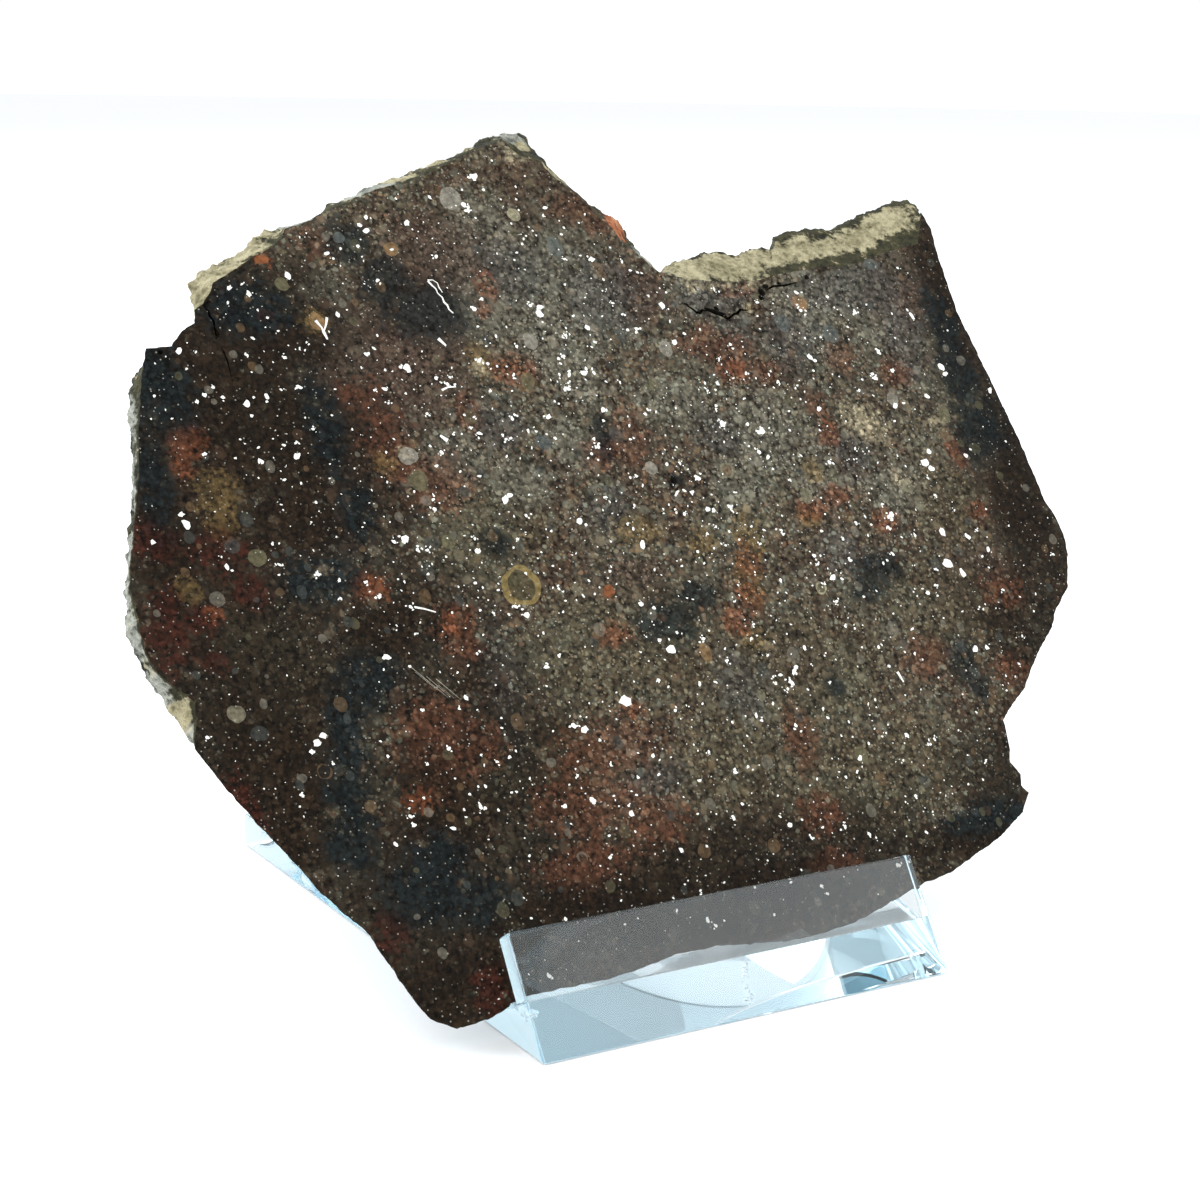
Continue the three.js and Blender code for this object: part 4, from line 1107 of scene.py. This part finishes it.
class CHONDRITE_OT_stage(bpy.types.Operator):
    """Set the pale floor, the soft studio lights and the camera"""
    bl_idname = "chondrite.stage"
    bl_label = "Studio stage"

    def execute(self, context):
        scene = context.scene
        self.lay_floor()
        self.set_surround(scene)
        self.hang_lights(scene)
        self.place_camera(scene)
        scene.view_settings.view_transform = "Standard"
        # light crosses the thick acrylic by many inner reflections
        scene.cycles.max_bounces = scene.cycles.glossy_bounces = scene.cycles.transmission_bounces = 64
        return {"FINISHED"}

    def lay_floor(self):
        """A pale matt floor, far wider than the view, with a breath of air under the acrylic."""
        select_only()
        bpy.ops.mesh.primitive_circle_add(vertices=64, radius=4, fill_type="NGON", location=(0, 0, -0.1 * MM))
        floor = bpy.context.object
        floor.name = "studio_floor"
        material, add = new_material("matt_white_paper")
        fibres = add("TexNoise", {"Vector": add("TexCoord").outputs["Object"], "Scale": 900, "Detail": 2})
        tone = add("Mix", {0: fibres, 6: linear("#f6f7f8"), 7: linear("#fafafa")}, data_type="RGBA")
        shader = add("BsdfPrincipled", {"Base Color": tone, "Roughness": 0.9})
        add("OutputMaterial", {"Surface": shader})
        floor.data.materials.append(material)

    def set_surround(self, scene):
        """A white room all round."""
        scene.world = bpy.data.worlds.new("pale_room")
        scene.world.use_nodes = True
        tree = scene.world.node_tree
        tree.nodes.clear()
        room = add_node(tree, "Background", {0: linear("#fbfdff"), 1: scene.chondrite_stage.surround})
        add_node(tree, "OutputWorld", {0: room})

    def hang_lights(self, scene):
        """Large soft panels, each looking at the middle of the object."""
        for name, place, size, tone, setting in PANELS:
            lamp = bpy.data.lights.new(name, "AREA")
            lamp.size = size
            lamp.energy = getattr(scene.chondrite_stage, setting)
            lamp.color = linear(tone)[:3]
            holder = bpy.data.objects.new(name, lamp)
            holder.location = place
            holder.rotation_euler = (PANEL_TARGET - Vector(place)).to_track_quat("-Z", "Y").to_euler()
            scene.collection.objects.link(holder)

    def place_camera(self, scene):
        """Stands where the photograph was taken from: left of the middle, a little above the object."""
        camera = bpy.data.cameras.new("camera")
        camera.lens = 72
        camera.sensor_width = 36
        camera.clip_start = 0.01
        holder = bpy.data.objects.new("camera", camera)
        back = CAMERA_RIGHT.cross(CAMERA_TOP).normalized()
        turned = Matrix((CAMERA_RIGHT, back.cross(CAMERA_RIGHT), back)).transposed().to_4x4()
        holder.matrix_world = Matrix.Translation(CAMERA_PLACE * MM) @ turned
        scene.collection.objects.link(holder)
        scene.camera = holder


class CHONDRITE_PT_panel(bpy.types.Panel):
    """Lists the pieces and their settings"""
    bl_label = "Chondrite slice"
    bl_idname = "CHONDRITE_PT_panel"
    bl_space_type = "VIEW_3D"
    bl_region_type = "UI"
    bl_category = "Chondrite"

    def draw(self, context):
        for piece in SETTINGS:
            box = self.layout.box()
            settings = getattr(context.scene, f"chondrite_{piece}")
            for name in settings.__annotations__:
                box.prop(settings, name)
            box.operator(f"chondrite.{piece}")


SETTINGS = {"slice": SliceSettings, "easel": EaselSettings, "stage": StageSettings}
CLASSES = (*SETTINGS.values(), CHONDRITE_OT_slice, CHONDRITE_OT_easel, CHONDRITE_OT_stage, CHONDRITE_PT_panel)


def register():
    for each in CLASSES:
        bpy.utils.register_class(each)
    for piece, group in SETTINGS.items():
        setattr(bpy.types.Scene, f"chondrite_{piece}", bpy.props.PointerProperty(type=group))


def unregister():
    for piece in SETTINGS:
        delattr(bpy.types.Scene, f"chondrite_{piece}")
    for each in reversed(CLASSES):
        bpy.utils.unregister_class(each)


def main():
    register()
    bpy.ops.chondrite.stage()
    bpy.ops.chondrite.slice()
    bpy.ops.chondrite.easel()


if __name__ == "__main__":
    main()
